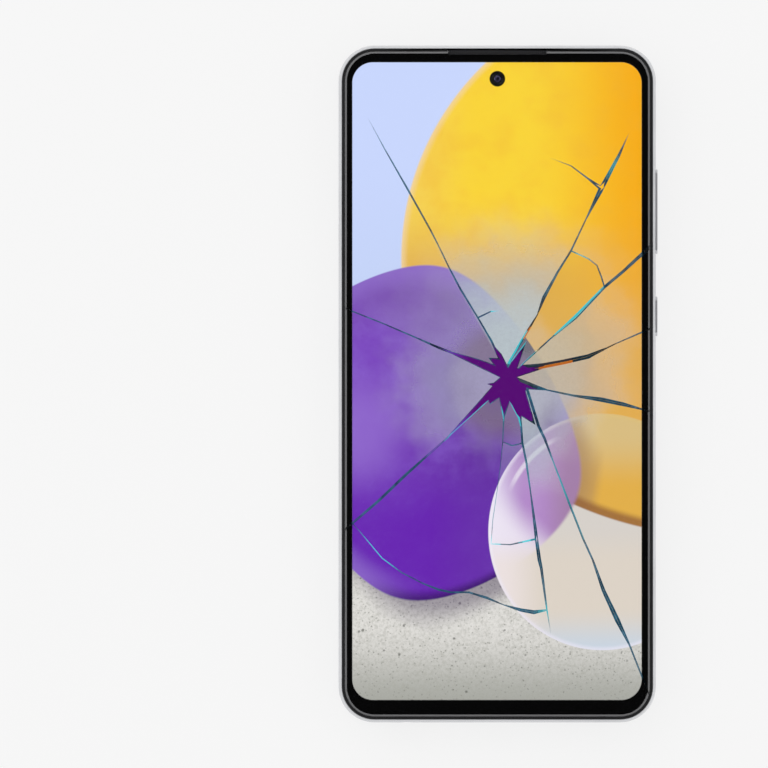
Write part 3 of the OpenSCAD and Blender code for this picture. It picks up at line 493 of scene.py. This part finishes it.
for name, bm in shards.items():
    divide_walls(bm)
    bm.normal_update()
    lean_walls(bm, BOLD.get(name, (0, 0, 0)))
    bm.normal_update()
print("walls leaned in", len(shards), "shards")

# %% [markdown]
# ## Broken glass: its painted shine
# Every wall is a small mirror, so a wall that faces the window lights up while its neighbour
# stays dark. That is painted here: three numbers on every wall face say how much painted bluish
# glint it gets, how much painted reflection of the amber picture, and how much painted shade.
# Small lamps in the room could light them, but each would light all the rest too. Each entry is a
# place along a crack, how far it reaches, how strong it is, and which way the wall there faces.

# %% Painted glints, reflections and shades: x, y, reach in mm, strength, and facing in degrees or None for both walls
COOL_GLINTS = (
    (19.8, 17.5, 9.8, 1.3, -49), (28.0, 53.0, 5.5, 0.32, None), (5.2, 8.8, 5.5, 1.2, -30),
    (20.5, 31.2, 3.8, 0.4, None), (-0.3, 17.9, 1.6, 0.9, None), (-7.5, -8.8, 9.0, 1.0, 135),
    (4.2, -7.0, 4.5, 0.9, 11), (7.5, -22.0, 7.0, 0.27, None), (15.8, -23.5, 11.0, 0.38, None),
    (-28.8, -40.8, 9.5, 0.5, None), (-1.1, -38.8, 2.5, 0.7, None), (7.0, -37.6, 2.2, 0.8, None),
    (-0.3, -30.0, 9.0, 0.3, None), (12.1, -55.5, 4.0, 0.4, None))
AMBER_GLINTS = ((14.0, 4.7, 5.6, 1.2, 100), (7.9, 12.0, 2.4, 1.2, 150))
SHADED = ((8.5, 4.4, 6.2, 1.5, None), (17.0, 6.2, 7.0, 1.5, None), (26.0, 8.3, 6.0, 1.3, None),
          (8.6, 15.7, 3.6, 1.3, None), (-14.5, 9.0, 3.0, 0.9, None),
          (7.9, -9.2, 2.6, 1.2, None), (1.4, 6.3, 2.2, 1.2, None), (-2.5, -2.2, 2.4, 1.2, None))
print(len(COOL_GLINTS) + len(AMBER_GLINTS), "glints and", len(SHADED), "shades")


def glint(face, glints):
    """How much of the listed painted light or shade a wall face gets."""
    mid = face.calc_center_median() / MM
    best = 0
    for x, y, reach, strength, facing in glints:
        near = 1 - ((mid.x - x) ** 2 + (mid.y - y) ** 2) / reach ** 2
        if near > 0 and facing is not None:
            way = Vector((math.cos(math.radians(facing)), math.sin(math.radians(facing)), 0))
            flat = Vector((face.normal.x, face.normal.y, 0))
            near *= max(0, flat.normalized().dot(way)) ** 2 if flat.length else 0
        best = max(best, near * strength)
    return best


def mark_glints(bm):
    """Writes the painted shade, glint and amber reflection on the crack walls of a shard."""
    for layer_name, glints in (("shaded", SHADED), ("painted_glint", COOL_GLINTS),
                               ("amber", AMBER_GLINTS)):
        layer = bm.faces.layers.float.new(layer_name)
        for face in bm.faces:
            if face.material_index == CRACK:
                face[layer] = glint(face, glints)


# %% [markdown]
# ## Broken glass: its finishes
# Three finishes meet on a shard. The face is polished aluminosilicate glass. Round the impact it
# is crushed into fine haze, which is white glass powder scattering light: there the shader lets
# less light through and adds a pale diffuse layer, tinted with painted light from the picture
# under it. The border of the underside is printed black. The powder could be a cloud of grains,
# but they are too fine to tell apart. The crack walls are the dark blue-green of thick glass seen
# edge on, and glow with partly painted light. The rim is finely ground.

# %% Where the glass is hazed: how much, from and to which distance in mm, and its colour with a painted tint of the screen light under it
HAZE = {"glass_top": (0.96, 8, 47, "#DDEAF0"), "glass_wedge": (0.3, 6, 20, "#DDEAF0"),
        "glass_right_upper": (0.87, 8, 43, "#E8DEC8"),
        "glass_right_middle": (0.88, 8, 38, "#E5DBCB"),
        "glass_right_lower": (0.92, 6, 29, "#D8DBEA"), "glass_bottom": (0.82, 6, 37, "#DDEAF0"),
        "glass_sliver_upper": (0.4, 4, 24, "#A78CE0"),
        "glass_sliver_lower": (0.35, 6, 34, "#A886DC"),
        "glass_lower_left": (0.42, 2, 25, "#8A6CB4"), "glass_left": (0.92, 4, 35, "#C5BFE4")}
LONG_CRACK = (0.868, 0.497, 0)      # points away from the long crack of the top shard
half_way = MID_Z / MM
print("haze reaches", max(row[2] for row in HAZE.values()), "mm from the impact")


# %% Polished and hazed glass
def shard_face(name):
    """Polished glass, hazed round the impact and printed black under its border."""
    most, full, reach, powder_and_screen_light = HAZE[name]
    mat, shader = material("polished_" + name, "#FFFFFF", 0.03)
    spot = place(mat)
    away = oval(mat, spot, IMPACT, (1, 1))
    powder = add(mat, "TexNoise", {"Vector": spot, "Scale": 1.1, "Detail": 6.0,
                                   "Roughness": 0.75})
    uneven = add(mat, "MapRange", [powder, 0.2, 0.8, 0.88, 1.09])
    drift = add(mat, "TexNoise", {"Vector": spot, "Scale": 0.14, "Detail": 3.0})
    away = add(mat, "Math", [add(mat, "MapRange", [drift, 0.3, 0.7, -2.5, 2.5]), away])
    haze = add(mat, "MapRange", [away, reach, full, 0, most],
               interpolation_type='SMOOTHERSTEP')
    haze = add(mat, "Math", [haze, uneven], operation='MULTIPLY', use_clamp=True)
    if name == "glass_top":
        # the powder is thinner left of the long crack
        side = add(mat, "VectorMath", [spot, LONG_CRACK], out="Value", operation='DOT_PRODUCT')
        thinner = add(mat, "MapRange", [side, 3.2, 4.2, 0.3, 1.0])
        haze = add(mat, "Math", [haze, thinner], operation='MULTIPLY')
    height = add(mat, "SeparateXYZ", [spot], out="Z")
    top = add(mat, "Math", [height, half_way], operation='GREATER_THAN')
    under = add(mat, "Math", [height, half_way], operation='LESS_THAN')
    border = add(mat, "MapRange", [past_lit(mat, spot), LIT_CORNER, LIT_CORNER + 0.1, 0, 1])
    over_picture = add(mat, "Math", [top, border], operation='SUBTRACT', use_clamp=True)
    haze = add(mat, "Math", [haze, over_picture], operation='MULTIPLY')
    printed = add(mat, "Math", [border, under], operation='MULTIPLY')
    # white powder tinted with painted light from the picture under it
    base = coat(mat, "#FFFFFF", powder_and_screen_light, haze, 0, 0.7)
    covered = add(mat, "Math", [haze, printed], operation='ADD', use_clamp=True)
    # the underside is bonded to the film, so it neither bends light nor reflects it
    bonded = add(mat, "MapRange", [under, 0, 1, 1.5, 1.01])
    feed(mat, shader, Base_Color=coat(mat, base, "#040405", printed, 0, 1), IOR=bonded,
         Transmission_Weight=add(mat, "Math", [1.0, covered], operation='SUBTRACT'))
    return mat


# %% Crack walls
# The screen's light travels sideways in the glass and leaves at its broken walls; the walls'
# emission also stands in for the light the shaded grooves miss, so it is partly painted light
PAINTED_WALL_LIGHT = 0.72
crack_wall, shader = material("crack_wall_painted_light", "#0D1E28", 0.22, IOR=1.5)
spot = place(crack_wall)
streaks = add(crack_wall, "TexNoise", {"Vector": spot, "Scale": 0.4, "Detail": 4.0,
                                       "Distortion": 0.6})
# the layer "shaded" holds the painted shade, "amber" the painted reflection of the amber picture
shaded, painted_glint, painted_amber_reflection = (add(crack_wall, "Attribute", out="Fac", attribute_name=layer)
                             for layer in ("shaded", "painted_glint", "amber"))
# emitted colour of the walls: painted light, with painted shade, painted glint and painted amber
# reflection laid in
glow = coats(crack_wall, "#1A3E52", ("#3A7089", streaks, 0.3, 0.7),
             ("#14242E", shaded, 0.1, 0.7, 0.9), ("#4FE0EA", painted_glint, 0.12, 0.6, 0.95),
             ("#DC7410", painted_amber_reflection, 0.3, 0.6, 0.95),
             ("#000000", past_lit(crack_wall, spot), LIT_CORNER - 0.1, LIT_CORNER + 0.3))
feed(crack_wall, shader, Emission_Color=glow)
shader.inputs["Emission Strength"].default_value = PAINTED_WALL_LIGHT
print("crack wall", len(crack_wall.node_tree.nodes), "nodes")

# %% [markdown]
# ## Grain
# No moulded, lacquered or ground surface is quite even. Noise of the grain's real size lifts the
# surface a little and changes its roughness, which breaks up a highlight. It could be cut into the
# mesh, but grain this fine only shows in how it shines. The rim of the glass, a dull grey line
# ground by a fine wheel, is the first to use it.

# %% A helper for grain, and the ground rim
def grain(mat, shader, size_mm, depth_mm, rough=None, tones=None):
    """Grain of a real size: a bump, and if asked a change of roughness and of colour."""
    spot = place(mat)
    field = add(mat, "TexNoise", {"Vector": spot, "Scale": 1 / size_mm, "Detail": 3.0,
                                  "Roughness": 0.6})
    bump = add(mat, "Bump", {"Height": field, "Distance": depth_mm * MM, "Strength": 1.0})
    feed(mat, shader, Normal=bump)
    if rough:
        feed(mat, shader, Roughness=add(mat, "MapRange", [field, 0.3, 0.7, *rough]))
    if tones:
        patches = add(mat, "TexNoise", {"Vector": spot, "Scale": 0.08, "Detail": 3.0})
        feed(mat, shader, Base_Color=coat(mat, tones[0], tones[1], patches, 0.3, 0.7))
    return mat


rim_glass, shader = material("ground_glass_rim", "#7C7C7E", 0.2, IOR=1.5,
                             Transmission_Weight=0.2)
grain(rim_glass, shader, 0.25, 0.004, rough=(0.14, 0.26))

# %% The shards
for name, bm in shards.items():
    mark_glints(bm)
    bmesh.ops.triangulate(bm, faces=bm.faces)
    shard = finish_piece(bm, "broken_" + name, [shard_face(name), crack_wall, rim_glass],
                         stands_for=(name,), smooth_deg=20)

# %% [markdown]
# ## Clear adhesive
# Optical adhesive fills the space between glass and panel and holds the broken pieces. It is
# matched to the glass so that it shows no surface of its own. It could be left out, but then the
# pieces would hang in the air, so it is there with an IOR next to that of air. The film is drawn a
# little thinner than it is, because two surfaces in exactly the same place flicker.

# %% Adhesive film
FILM_INSET = 0.02 * MM
film_mat, shader = material("optical_adhesive_film", "#FDFDFF", 0.02, IOR=1.01,
                            Transmission_Weight=1.0)
grain(film_mat, shader, 3.0, 0.001)
bm = cad_copy("optical_adhesive")
film_low, film_high = (c[2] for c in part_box("optical_adhesive"))
for vert in bm.verts:
    vert.co.z += FILM_INSET if vert.co.z < (film_low + film_high) / 2 else -FILM_INSET
finish_piece(bm, "adhesive_film", [film_mat], stands_for=("optical_adhesive",))

# %% [markdown]
# ## Silver frame
# The frame is moulded plastic under a silver lacquer: tiny metal flakes in a clear coat, so it
# is half metal and half plain reflection, and brighter than bare metal under a soft light. Its
# lip is the bright line round the screen. Nothing made in a factory has a perfectly sharp edge,
# and a narrow bevel is what catches the light. A Bevel modifier could do it, but the operator can
# be given just the sharp edges. The frame, the keys and the tray share one lacquer.

# %% A helper for edges
def break_edges(bm, width, over_deg=35):
    """Bevels the edges that turn by more than over_deg."""
    sharp = [e for e in bm.edges if len(e.link_faces) == 2
             and e.calc_face_angle(0) > math.radians(over_deg)]
    bmesh.ops.bevel(bm, geom=sharp, offset=width, offset_type='OFFSET', affect='EDGES',
                    segments=2, profile=0.5, clamp_overlap=True, material=-1)
    return len(sharp)


# %% Silver lacquer
silver, shader = material("silver_lacquer", "#D6D7DA", 0.32, Metallic=0.45, Coat_Weight=0.3,
                          Coat_Roughness=0.12)
grain(silver, shader, 0.12, 0.002, rough=(0.26, 0.38), tones=("#D2D3D6", "#DCDDE0"))

for node, body, width in (("mid_frame", "phone", 0.07), ("volume_key", "volume_key", 0.16),
                          ("power_key", "power_key", 0.16), ("sim_tray", "sim_tray", 0.07)):
    bm = cad_copy(node)
    count = break_edges(bm, width * MM)
    piece = finish_piece(bm, "finished_" + node, [silver], body, stands_for=(node,))
    print(count, "edges broken")

# %% [markdown]
# ## Black gasket and earpiece
# A soft black gasket fills the gap between lip and glass. It is moulded plastic with a satin
# skin, so it shows a dull grey line where it turns to the light. The earpiece is a woven steel
# mesh, painted black, in a notch of the glass. Its wires could be modelled, but at this size two
# crossed waves in a bump look the same.

# %% Gasket and mesh
gasket, shader = material("satin_gasket_plastic", "#1B1B1D", 0.42)
grain(gasket, shader, 0.15, 0.004, rough=(0.36, 0.5), tones=("#19191B", "#202022"))
bm = cad_copy("display_bezel")
break_edges(bm, 0.06 * MM)
finish_piece(bm, "gasket_ring", [gasket], stands_for=("display_bezel",))

WIRE_PITCH = 0.5      # mm, drawn coarser than the real 0.2 so that it shows
WAVE_LENGTH = 0.314   # of a wave texture whose scale is 1
mesh_mat, shader = material("black_wire_mesh", "#101012", 0.45, Metallic=0.6)
spot = place(mesh_mat)
waves = [add(mesh_mat, "TexWave", {"Vector": spot, "Scale": WAVE_LENGTH / WIRE_PITCH},
             bands_direction=axis) for axis in "XY"]
weave = add(mesh_mat, "Math", waves, operation='MAXIMUM')
bump = add(mesh_mat, "Bump", {"Height": weave, "Distance": 0.08 * MM, "Strength": 1.0})
# painted highlight and shade: lighter on the wires, near black in the openings between them
feed(mesh_mat, shader, Normal=bump,
     Base_Color=coat(mesh_mat, "#050506", "#3A3A3D", weave, 0.45, 0.95))

# %% [markdown]
# ## Rear cover
# The cover is one shell of satin black polycarbonate with a soft-touch lacquer. The lacquer has
# a very fine orange-peel grain, and a faint change of tone over the length of the hand. Plain
# black would look like a hole, so it is a dark grey. The edge of each window in the camera bump is
# broken so that it draws a thin line of light.

# %% Rear cover
back_black, shader = material("satin_black_polycarbonate", "#19191A", 0.38,
                              Coat_Weight=0.15, Coat_Roughness=0.3)
grain(back_black, shader, 0.22, 0.003, rough=(0.33, 0.43), tones=("#171718", "#1D1D1E"))
bm = cad_copy("rear_cover")
break_edges(bm, 0.06 * MM, over_deg=50)
finish_piece(bm, "back_shell", [back_black], stands_for=("rear_cover",))

# %% [markdown]
# ## Cameras
# Each large camera has a turned steel rim, a dark glass and a stack of lenses behind it. Seen
# through the glass, the stack is a set of black steps with one bright turned ring and a domed
# front lens, whose coating throws back violet. Rings could be stacked one by one, but a single
# profile spun about the axis leaves no gaps between them.

# %% Camera finishes
rim_steel, shader = material("turned_rim_steel", "#A9AAAD", 0.2, Metallic=1.0)
grain(rim_steel, shader, 0.1, 0.002, rough=(0.16, 0.3), tones=("#A2A3A6", "#B4B5B8"))
dark_glass, shader = material("smoked_camera_glass", "#A0A0A8", 0.02, IOR=1.5,
                              Transmission_Weight=1.0)
grain(dark_glass, shader, 6.0, 0.0005)
baffle, shader = material("anodised_black_baffle", "#0B0B0D", 0.4, Metallic=0.5)
grain(baffle, shader, 0.1, 0.004, rough=(0.32, 0.5), tones=("#09090B", "#101013"))
ring_grey, shader = material("turned_lens_ring", "#7E7E83", 0.3, Metallic=0.9)
grain(ring_grey, shader, 0.08, 0.002, rough=(0.24, 0.36))
lens_glass, shader = material("coated_lens", "#0A0714", 0.03, IOR=1.6, Coat_Weight=1.0,
                              Coat_Roughness=0.02, Specular_Tint=colour("#8C6CFF"))
sheen = add(lens_glass, "LayerWeight", {"Blend": 0.35}, out="Facing")
feed(lens_glass, shader, Base_Color=coat(lens_glass, "#141024", "#2C3F6E", sheen, 0.1, 0.8))
print("five camera finishes")


# %% Helpers for turned pieces
OUTSIDE = 9           # mm, wider than any lens


def spun(profile, centre, steps=64):
    """A bmesh turned about a vertical axis from a profile of (radius, height) in millimetres."""
    bm = bmesh.new()
    verts = [bm.verts.new((centre[0] + r * MM, centre[1], z * MM)) for r, z in profile]
    edges = [bm.edges.new(pair) for pair in zip(verts, verts[1:])]
    bmesh.ops.spin(bm, geom=verts + edges, cent=(centre[0], centre[1], 0), axis=(0, 0, 1),
                   angle=2 * math.pi, steps=steps, use_merge=True)
    bmesh.ops.remove_doubles(bm, verts=bm.verts, dist=0.002 * MM)
    bmesh.ops.recalc_face_normals(bm, faces=bm.faces)
    return bm


def centre_of(node):
    """The middle of a node's box in plan, in metres."""
    low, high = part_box(node)
    return ((low[0] + high[0]) / 2, (low[1] + high[1]) / 2)


def by_radius(bm, centre, bands):
    """Gives faces their finish: bands are (outer radius in mm, finish), from the middle out."""
    for face in bm.faces:
        mid = face.calc_center_median()
        radius = math.hypot(mid.x - centre[0], mid.y - centre[1]) / MM
        face.material_index = next(i for r, i in bands if radius < r)


# %% Lens stacks, glasses and rims
def lens_stack(name, node, size, top):
    """Steps, a bright ring and a domed lens, drawn for a stack of 4.1 mm and scaled to size."""
    k = size / 4.1
    steps = [(4.1, 0.04), (3.2, 0.04), (3.12, 0.1), (2.85, 0.1), (2.78, 0.2), (2.2, 0.24),
             (2.1, 0.42), (1.75, 0.44), (1.5, 0.3), (1.1, 0.2), (0.6, 0.13), (0, 0.11)]
    profile = [(r * k, top + z) for r, z in steps] + [(0, top + 0.75), (4.1 * k, top + 0.75)]
    bm = spun(profile + [(4.1 * k, top + 0.04)], centre_of(node))
    by_radius(bm, centre_of(node), [(1.76 * k, 2), (2.79 * k, 0), (3.21 * k, 1), (OUTSIDE, 0)])
    stack = finish_piece(bm, name, [baffle, ring_grey, lens_glass], smooth_deg=30)


for i in (1, 2, 3):
    glass, ring = f"camera_glass_{i}", f"camera_ring_{i}"
    lens_stack(f"lens_stack_{i}", glass, 4.1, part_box(glass)[1][2] / MM + 0.02)
    for node, finish, slot in ((glass, dark_glass, "dark_glass"),
                               (ring, rim_steel, "camera_rim")):
        bm = cad_copy(node)
        break_edges(bm, 0.08 * MM)
        finish_piece(bm, "finished_" + node, [finish], stands_for=(node,))

# %% [markdown]
# The close-up camera sits behind a small window of the same glass. The lamp's window is milky
# plastic over a yellow phosphor, and its face carries fine rings that spread the light. They are
# drawn as a sine of the distance from its middle, since cut grooves would be too fine to show.

# %% Close-up camera
bm = cad_copy("macro_glass")
break_edges(bm, 0.08 * MM)
finish_piece(bm, "finished_macro_glass", [dark_glass], stands_for=("macro_glass",))
macro_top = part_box("macro_glass")[1][2] / MM
lens_stack("lens_stack_macro", "macro_glass", 2.1, macro_top + 0.02)

# %% Lamp
milky, shader = material("milky_lamp_plastic", "#EDE6D3", 0.25, Transmission_Weight=0.25,
                         IOR=1.49)
spot = place(milky)
from_middle = oval(milky, spot, [c / MM for c in centre_of("flash_lens")], (1, 1))
rings = add(milky, "Math", [from_middle, 22.0], operation='MULTIPLY')
rings = add(milky, "Math", [rings], operation='SINE')
bump = add(milky, "Bump", {"Height": rings, "Distance": 0.02 * MM, "Strength": 0.6})
feed(milky, shader, Normal=bump,
     Base_Color=coat(milky, "#F2D98C", "#EFEAE0", from_middle, 0.9, 2.0))
window_black, shader = material("black_lamp_window", "#0E0E10", 0.08, Coat_Weight=0.5)
grain(window_black, shader, 5.0, 0.0008)
LAMP_RADIUS = 1.65 * MM       # of the milky part, inside a black ring
LAMP_BEVEL = 0.06 * MM
bm = cad_copy("flash_lens")
lens_radius = max(f.calc_area() for f in bm.faces if f.normal.z < -0.9) ** 0.5 / math.pi ** 0.5
break_edges(bm, LAMP_BEVEL)
face = max((f for f in bm.faces if f.normal.z < -0.9), key=lambda f: f.calc_area())
bmesh.ops.inset_individual(bm, faces=[face], thickness=lens_radius - LAMP_BEVEL - LAMP_RADIUS,
                           depth=0, use_even_offset=True)
by_radius(bm, centre_of("flash_lens"), [(1.5, 0), (OUTSIDE, 1)])
finish_piece(bm, "finished_flash_lens", [milky, window_black],
                     stands_for=("flash_lens",))

# %% Front camera: a black cone that narrows to a small coated lens
front_top = camera_high[2] / MM
profile = [(1.6, 0.17), (1.34, 0.17), (0.98, 0.01), (0.82, 0.01), (0.72, 0.03), (0.45, 0.11),
           (0.2, 0.14), (0, 0.15), (0, -0.2), (1.6, -0.2), (1.6, 0.17)]
bm = spun([(r, front_top + z) for r, z in profile], centre_of("front_camera"), steps=48)
by_radius(bm, centre_of("front_camera"), [(0.83, 1), (OUTSIDE, 0)])
finish_piece(bm, "front_camera_lens", [baffle, lens_glass], smooth_deg=30)

# %% [markdown]
# ## Sockets
# The charging socket's tongue carries gold-plated contacts on both faces. They could be stripes in
# a material, but real ones stand a little proud of the tongue and glint at their edges. So they
# are bevelled strips in a row.

# %% Gold contacts
CONTACTS = 12         # on each face
PITCH = 0.5 * MM
CONTACT_SIZE = (0.26 * MM, 3.6 * MM, 0.04 * MM)
gold, shader = material("gold_plate", "#D9A441", 0.25, Metallic=1.0)
grain(gold, shader, 0.1, 0.001, rough=(0.18, 0.3))
low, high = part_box("usb_tongue")
bm = bmesh.new()
for row in range(CONTACTS):
    for z in (low[2], high[2]):
        strip = bmesh.ops.create_cube(bm, size=1.0)["verts"]
        bmesh.ops.scale(bm, verts=strip, vec=CONTACT_SIZE)
        x = (row - (CONTACTS - 1) / 2) * PITCH
        bmesh.ops.translate(bm, verts=strip, vec=(x, low[1] + 2.2 * MM, z))
bmesh.ops.bevel(bm, geom=bm.edges[:], offset=0.01 * MM, affect='EDGES', segments=1,
                profile=0.5, material=-1)
finish_piece(bm, "usb_contacts", [gold])

# %% [markdown]
# ## Inside the case
# The case is closed, so these finishes only show if somebody lifts the cover off. One grey could
# do for all, but each is still the real material: stamped steel shields, solder-masked board,
# polyimide flexes with copper tracks, black mouldings, foam and the battery's pouch. Most differ
# only in colour, gloss and grain, so they are rows of one table.

# %% Plain inner finishes
inner = {}
for slot, name, base, rough, metallic, size_mm, depth_mm, tones in (
        ("foam_sheet", "black_foam", "#161617", 0.9, 0, 0.35, 0.05, ("#131314", "#1B1B1D")),
        ("black_tape", "black_tape_film", "#0A0A0B", 0.6, 0, 0.8, 0.01, ("#090909", "#0E0E0F")),
        ("black_plastic", "moulded_black_nylon", "#0F0F11", 0.5, 0, 0.2, 0.01,
         ("#0D0D0F", "#141416")),
        ("steel", "stamped_steel", "#B4B4B2", 0.32, 1, 0.3, 0.004, ("#ABABA9", "#BDBDBB")),
        ("battery_wrap", "battery_pouch", "#232325", 0.45, 0, 1.6, 0.02,
         ("#1F1F21", "#29292C")),
        ("ceramic_led", "lamp_phosphor", "#E2CC6A", 0.6, 0, 0.1, 0.01, ("#DCC462", "#E8D478")),
        ("gold_can", "gold_plated_can", "#C89A3E", 0.3, 1, 0.3, 0.003, ("#BE9038", "#D2A548")),
        ("black_sleeve", "cable_sleeve", "#0C0C0D", 0.55, 0, 0.3, 0.01, ("#0A0A0B", "#111112"))):
    mat, shader = material(name, base, rough, Metallic=float(metallic))
    inner[slot] = grain(mat, shader, size_mm, depth_mm, tones=tones)
print("plain inner finishes:", ", ".join(inner))

# %% Circuit board: dark green mask over tracks and tinned pads
board, shader = material("solder_mask_board", "#0C3A1E", 0.35, Coat_Weight=0.3)
spot = place(board)
pads = add(board, "TexVoronoi", {"Vector": spot, "Scale": 0.9, "Randomness": 0.6},
           distance='CHEBYCHEV')
tracks = add(board, "TexBrick", {"Vector": spot, "Scale": 0.7, "Mortar Size": 0.03}, out="Fac")
base = coat(board, "#0C3A1E", "#14532C", tracks, 0.2, 0.8)
feed(board, shader, Base_Color=coat(board, base, "#B9BAB4", pads, 0.16, 0.12),
     Metallic=add(board, "MapRange", [pads, 0.16, 0.12, 0, 0.9]))
inner["circuit_board"] = board
print("board", len(board.node_tree.nodes), "nodes")

# %% Flexes: amber polyimide with copper tracks
TRACK_PITCH = 0.5     # mm
flex, shader = material("polyimide_flex", "#B4691C", 0.35, Coat_Weight=0.4)
waves = add(flex, "TexWave", {"Vector": place(flex), "Scale": WAVE_LENGTH / TRACK_PITCH},
            bands_direction='X')
feed(flex, shader, Base_Color=coat(flex, "#8E4D12", "#D08A3A", waves, 0.4, 0.7))
inner["copper_flex"] = flex
print("tracks", TRACK_PITCH, "mm apart")

# %% Every remaining node gets its finish
inner.update(black_gasket=gasket, silver_frame=silver, camera_rim=rim_steel,
             dark_glass=dark_glass, flash_plastic=milky, rear_black=back_black,
             display_glass=rim_glass, clear_adhesive=film_mat)
own = {"display_panel": picture, "earpiece_mesh": mesh_mat}
slot_of = {p["node"]: p["material_slot"] for p in frame["record"]["subparts"]}
for node, obj in frame["nodes"].items():
    obj.material_slots[0].material = own.get(node) or inner[slot_of[node]]
print(len(frame["nodes"]), "nodes have a finish")

# %% [markdown]
# ## Table and light
# The phone rests on the rims of its cameras and on one long edge of its back, so the table is
# tilted by a degree and a half in the phone's own frame. A plain white table would turn grey away
# from the lamps, so most of its white is its own glow, and the rest keeps a soft shadow.

# %% Table
EDGE_INSET = 2.1 * MM       # where the long edge of the back is rounded
BACK_HEIGHT = 1.5 * MM      # of the back's edge above the rims
TABLE_GAP = 0.04 * MM       # the lamp's window reaches this far past the rims' line
rim_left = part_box("camera_ring_1")[0][0]
edge_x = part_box("rear_cover")[0][0] + EDGE_INSET
tilt = math.atan2(BACK_HEIGHT, rim_left - edge_x)
bm = bmesh.new()
bmesh.ops.create_grid(bm, x_segments=8, y_segments=8, size=2.0)
for vert in bm.verts:
    vert.co.z = (rim_left - vert.co.x) * math.tan(tilt) - TABLE_GAP
mesh = bpy.data.meshes.new("table")
bm.to_mesh(mesh)
bm.free()
table = put("table", mesh)
print("table tilted", round(math.degrees(tilt), 2), "degrees")

# %% The table's white
TABLE_GLOW = 0.8      # share of the table's white that no shadow touches
table_mat, shader = material("white_table", "#F4F4F4", 0.8)
light_path = {ray: add(table_mat, "LightPath", out=f"Is {ray} Ray")
              for ray in ("Camera", "Glossy", "Transmission")}
seen = add(table_mat, "Math", [light_path["Camera"], light_path["Glossy"]],
           operation='MAXIMUM')
seen = add(table_mat, "Math", [seen, light_path["Transmission"]], operation='MAXIMUM')
glow = add(table_mat, "Math", [seen, TABLE_GLOW], operation='MULTIPLY')
white = add(table_mat, "Emission", {"Strength": 1.0})
both = add(table_mat, "MixShader", [glow, shader.outputs[0], white])
table_mat.node_tree.links.new(both, table_mat.node_tree.nodes["Material Output"].inputs[0])
mesh.materials.append(table_mat)
print("table glow", TABLE_GLOW)

# %% [markdown]
# ## Room
# Glass mirrors whatever stands round it. A real studio hangs white cloth at the sides and leaves
# the ceiling dark: glass that faces the camera then stays black where it is black, and everything
# else is lit evenly. The room could be modelled, but a world shader that turns from white to dark
# with height does the same. Two large soft lamps add the direction of the light.

# %% Room
CEILING = (0.62, 0.93)      # sine of the height where the cloth ends, and where all is dark
world = bpy.data.worlds.new("studio")
bpy.context.scene.world = world
world.use_nodes = True
upward = add(world, "SeparateXYZ", [add(world, "TexCoord", out="Generated")], out="Z")
cloth = add(world, "MapRange", [upward, *CEILING, 1.0, 0.05],
            interpolation_type='SMOOTHSTEP')
mirrored = add(world, "Math", [add(world, "LightPath", out="Is Glossy Ray"),
                               add(world, "LightPath", out="Is Transmission Ray")],
               operation='MAXIMUM')
level = add(world, "MapRange", [mirrored, 0, 1, 0.85, 1.0])
light = add(world, "Math", [cloth, level], operation='MULTIPLY')
light = add(world, "Math", [light, add(world, "LightPath", out="Is Camera Ray")],
            operation='MAXIMUM')
world.node_tree.links.new(light, world.node_tree.nodes["Background"].inputs["Strength"])
world.node_tree.nodes["Background"].inputs["Color"].default_value = colour("#FFFFFF")
print("room", len(world.node_tree.nodes), "nodes")


# %% Lamps
def lamp(name, at, watts, size):
    """A square lamp that shines at the middle of the phone."""
    data = bpy.data.lights.new(name, 'AREA')
    data.energy = watts
    data.size = size
    obj = put(name, data)
    obj.location = at
    obj.rotation_euler = (-Vector(at)).to_track_quat('-Z', 'Y').to_euler()
    print(name, watts, "W,", round(Vector(at).length, 2), "m away")


lamp("key", (-0.55, 0.6, 0.75), 3.8, 1.6)
lamp("fill", (0.9, -0.3, 0.5), 1.5, 1.4)
